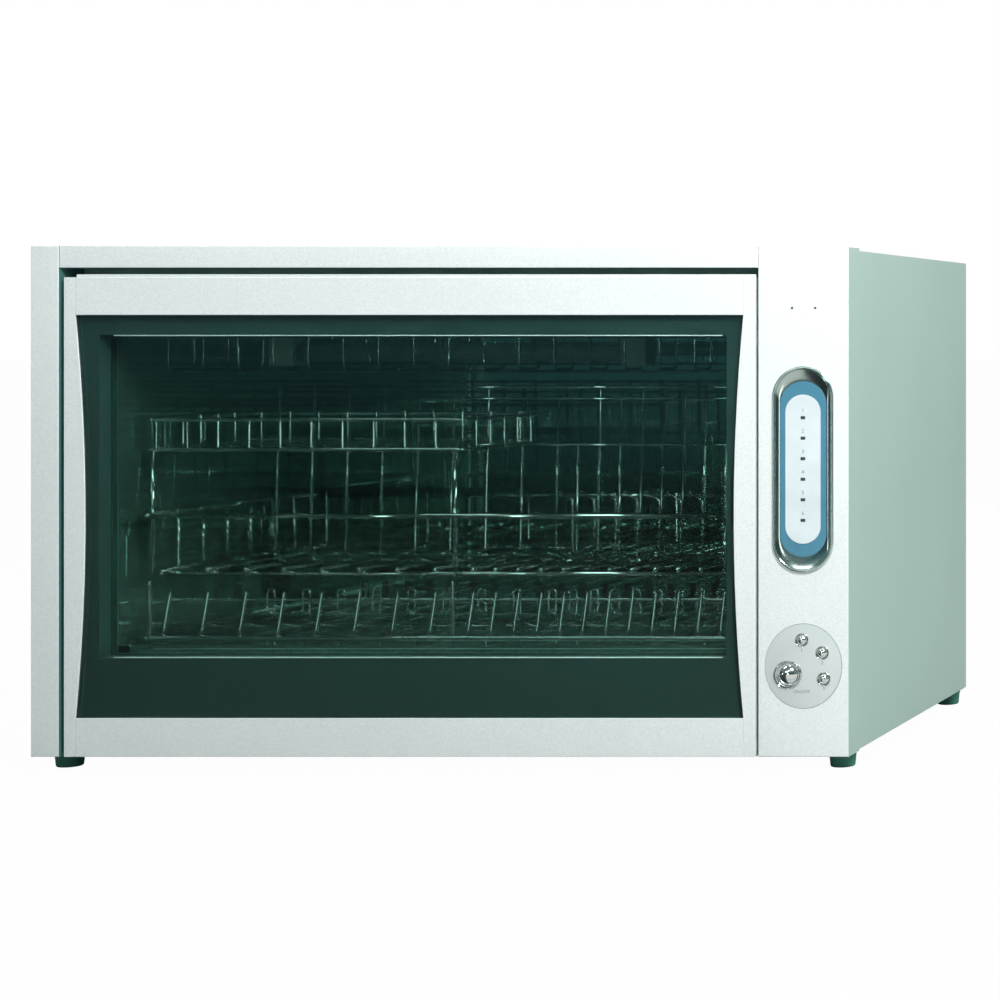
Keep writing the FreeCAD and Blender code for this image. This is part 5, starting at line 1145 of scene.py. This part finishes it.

# %% [markdown]
# ## Painted highlights along the window's edges
# The inner frame's sheet is folded back round the window. The bright lines along its top and bottom edges
# are painted highlights: each is a slim silver bar with soft corners, seated on the frame just behind the
# outer glass.

# %% Window highlights
BEAD_SIDE = 0.8 * MM
BEAD_INSET_LEFT = 11.0 * MM
BEAD_INSET_RIGHT = 3.5 * MM
window_low, window_high = opening("door_inner_frame")
bead_left = window_low.x + BEAD_INSET_LEFT
bead_size = Vector((window_high.x - BEAD_INSET_RIGHT - bead_left, BEAD_SIDE, BEAD_SIDE))
for name, bottom in (("window_edge_top", window_high.z - BEAD_SIDE), ("window_edge_bottom", window_low.z)):
    bead_low = Vector((bead_left, window_low.y, bottom))
    soft_bar(name, bead_low, bead_size, body_of("door_inner_frame"), "trim_silver")

# %% [markdown]
# ## Welds and wire ends
# Racks are spot welded from cut wire and then plated, so every crossing has a small bead and every free
# end is rounded off. The beads are small low spheres, all of one rack joined in one mesh.

# %% Helper for beads


def beads(name, places, radius, body, flatten=1.0):
    """Small round beads at many places, joined in one mesh."""
    cluster = bmesh.new()
    for place in places:
        made = bmesh.ops.create_uvsphere(cluster, u_segments=8, v_segments=6, radius=radius)
        bmesh.ops.scale(cluster, vec=(1, 1, flatten), verts=made["verts"])
        bmesh.ops.translate(cluster, vec=place, verts=made["verts"])
    piece(cluster, name, body, "rack_wire", angle=180.0)
    print(name, len(places))


def at(x, depth, z):
    """A point in millimetres: across, behind the front plane, and up."""
    return Vector((x * MM, FRONT + depth * MM, z * MM))


print("bead helper ready")

# %% Where the rack wires are
RIM = 2.5
FIRST_WIRE, LAST_WIRE = 22.9, 16.0
WIDE_PITCH, NARROW_PITCH, CHANGE_PITCH = 30.5, 18.4, 18.1
WIDE_COUNT = 9
rack_low, rack_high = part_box("upper_rack")
first_x = rack_low.x / MM + RIM + FIRST_WIRE
last_x = rack_high.x / MM - RIM - LAST_WIRE
wide_xs = [first_x + WIDE_PITCH * i for i in range(WIDE_COUNT)]
narrow_count = int(round((last_x - wide_xs[-1] - CHANGE_PITCH) / NARROW_PITCH)) + 1
narrow_xs = [last_x - NARROW_PITCH * i for i in reversed(range(narrow_count))]
wire_xs = wide_xs + narrow_xs
print("wires at", [round(x, 1) for x in wire_xs])

# %% Beads of the two racks
UPPER_CROSSINGS = (56.6, 290.6, 159.0, 209.0)
LOWER_CROSSINGS = (48.0, 298.2, 118.0, 203.0)
UPPER_BEADS, LOWER_BEADS = 152.05, 101.25
BEAD_RADIUS = 1.9 * MM
BEAD_FLATTEN = 0.75
for name, depths, height in (("upper_rack", UPPER_CROSSINGS, UPPER_BEADS),
                             ("lower_rack", LOWER_CROSSINGS, LOWER_BEADS)):
    places = [at(x, depth, height) for x in wire_xs for depth in depths]
    beads(name + "_welds", places, BEAD_RADIUS, name, BEAD_FLATTEN)

# %% [markdown]
# The bent wires of the upper rack end in a nearly level hook, so that a plate's rim rests on it. The rack
# is copied, its triangles are welded, and everything above the bend of those wires is pressed down by
# half.

# %% Level the hooks
HOOK_DEPTH = 159.0
HOOK_THICK = 2.5
HOOK_BEND, HOOK_TOP = 201.0, 222.0
HOOK_PRESS = 0.5
HOOK_WELD = 0.005 * MM
hooked = bmesh.new()
hooked.from_mesh(frame["nodes"]["upper_rack"].data)
bmesh.ops.remove_doubles(hooked, verts=hooked.verts, dist=HOOK_WELD)
hooks = [corner.co for corner in hooked.verts
         if abs(corner.co.y - FRONT - HOOK_DEPTH * MM) < HOOK_THICK * MM
         and corner.co.x > narrow_xs[0] * MM and HOOK_BEND * MM < corner.co.z < HOOK_TOP * MM]
for place in hooks:
    place.z = HOOK_BEND * MM + (place.z - HOOK_BEND * MM) * HOOK_PRESS
print("hook corners pressed:", len(hooks))
hooked_rack = piece(hooked, "upper_rack_hooked", "upper_rack", "rack_wire", angle=40.0)
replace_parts(hooked_rack, "upper_rack")

# %% Rounded ends of the upright wires
TIP_RADIUS = 1.5 * MM
FENCE_DEPTH, FENCE_TOP = 217.0, 298.1
TINE_DEPTH, TINE_TOP = 57.0, 133.6
TIP_SHIFT, TIP_TOP = 11.0, 217.1
BENT_WIRES = narrow_xs[1:8]
tip_height = HOOK_BEND + (TIP_TOP - HOOK_BEND) * HOOK_PRESS
WIRE_ENDS = (
    # name, body, places
    ("fence_wire_ends", "upper_rack", [at(x, FENCE_DEPTH, FENCE_TOP) for x in wire_xs]),
    ("front_wire_ends", "lower_rack", [at(x, TINE_DEPTH, TINE_TOP) for x in wire_xs]),
    ("bent_wire_ends", "upper_rack", [at(x - TIP_SHIFT, HOOK_DEPTH, tip_height) for x in BENT_WIRES]),
)
for name, body, places in WIRE_ENDS:
    beads(name, places, TIP_RADIUS, body)
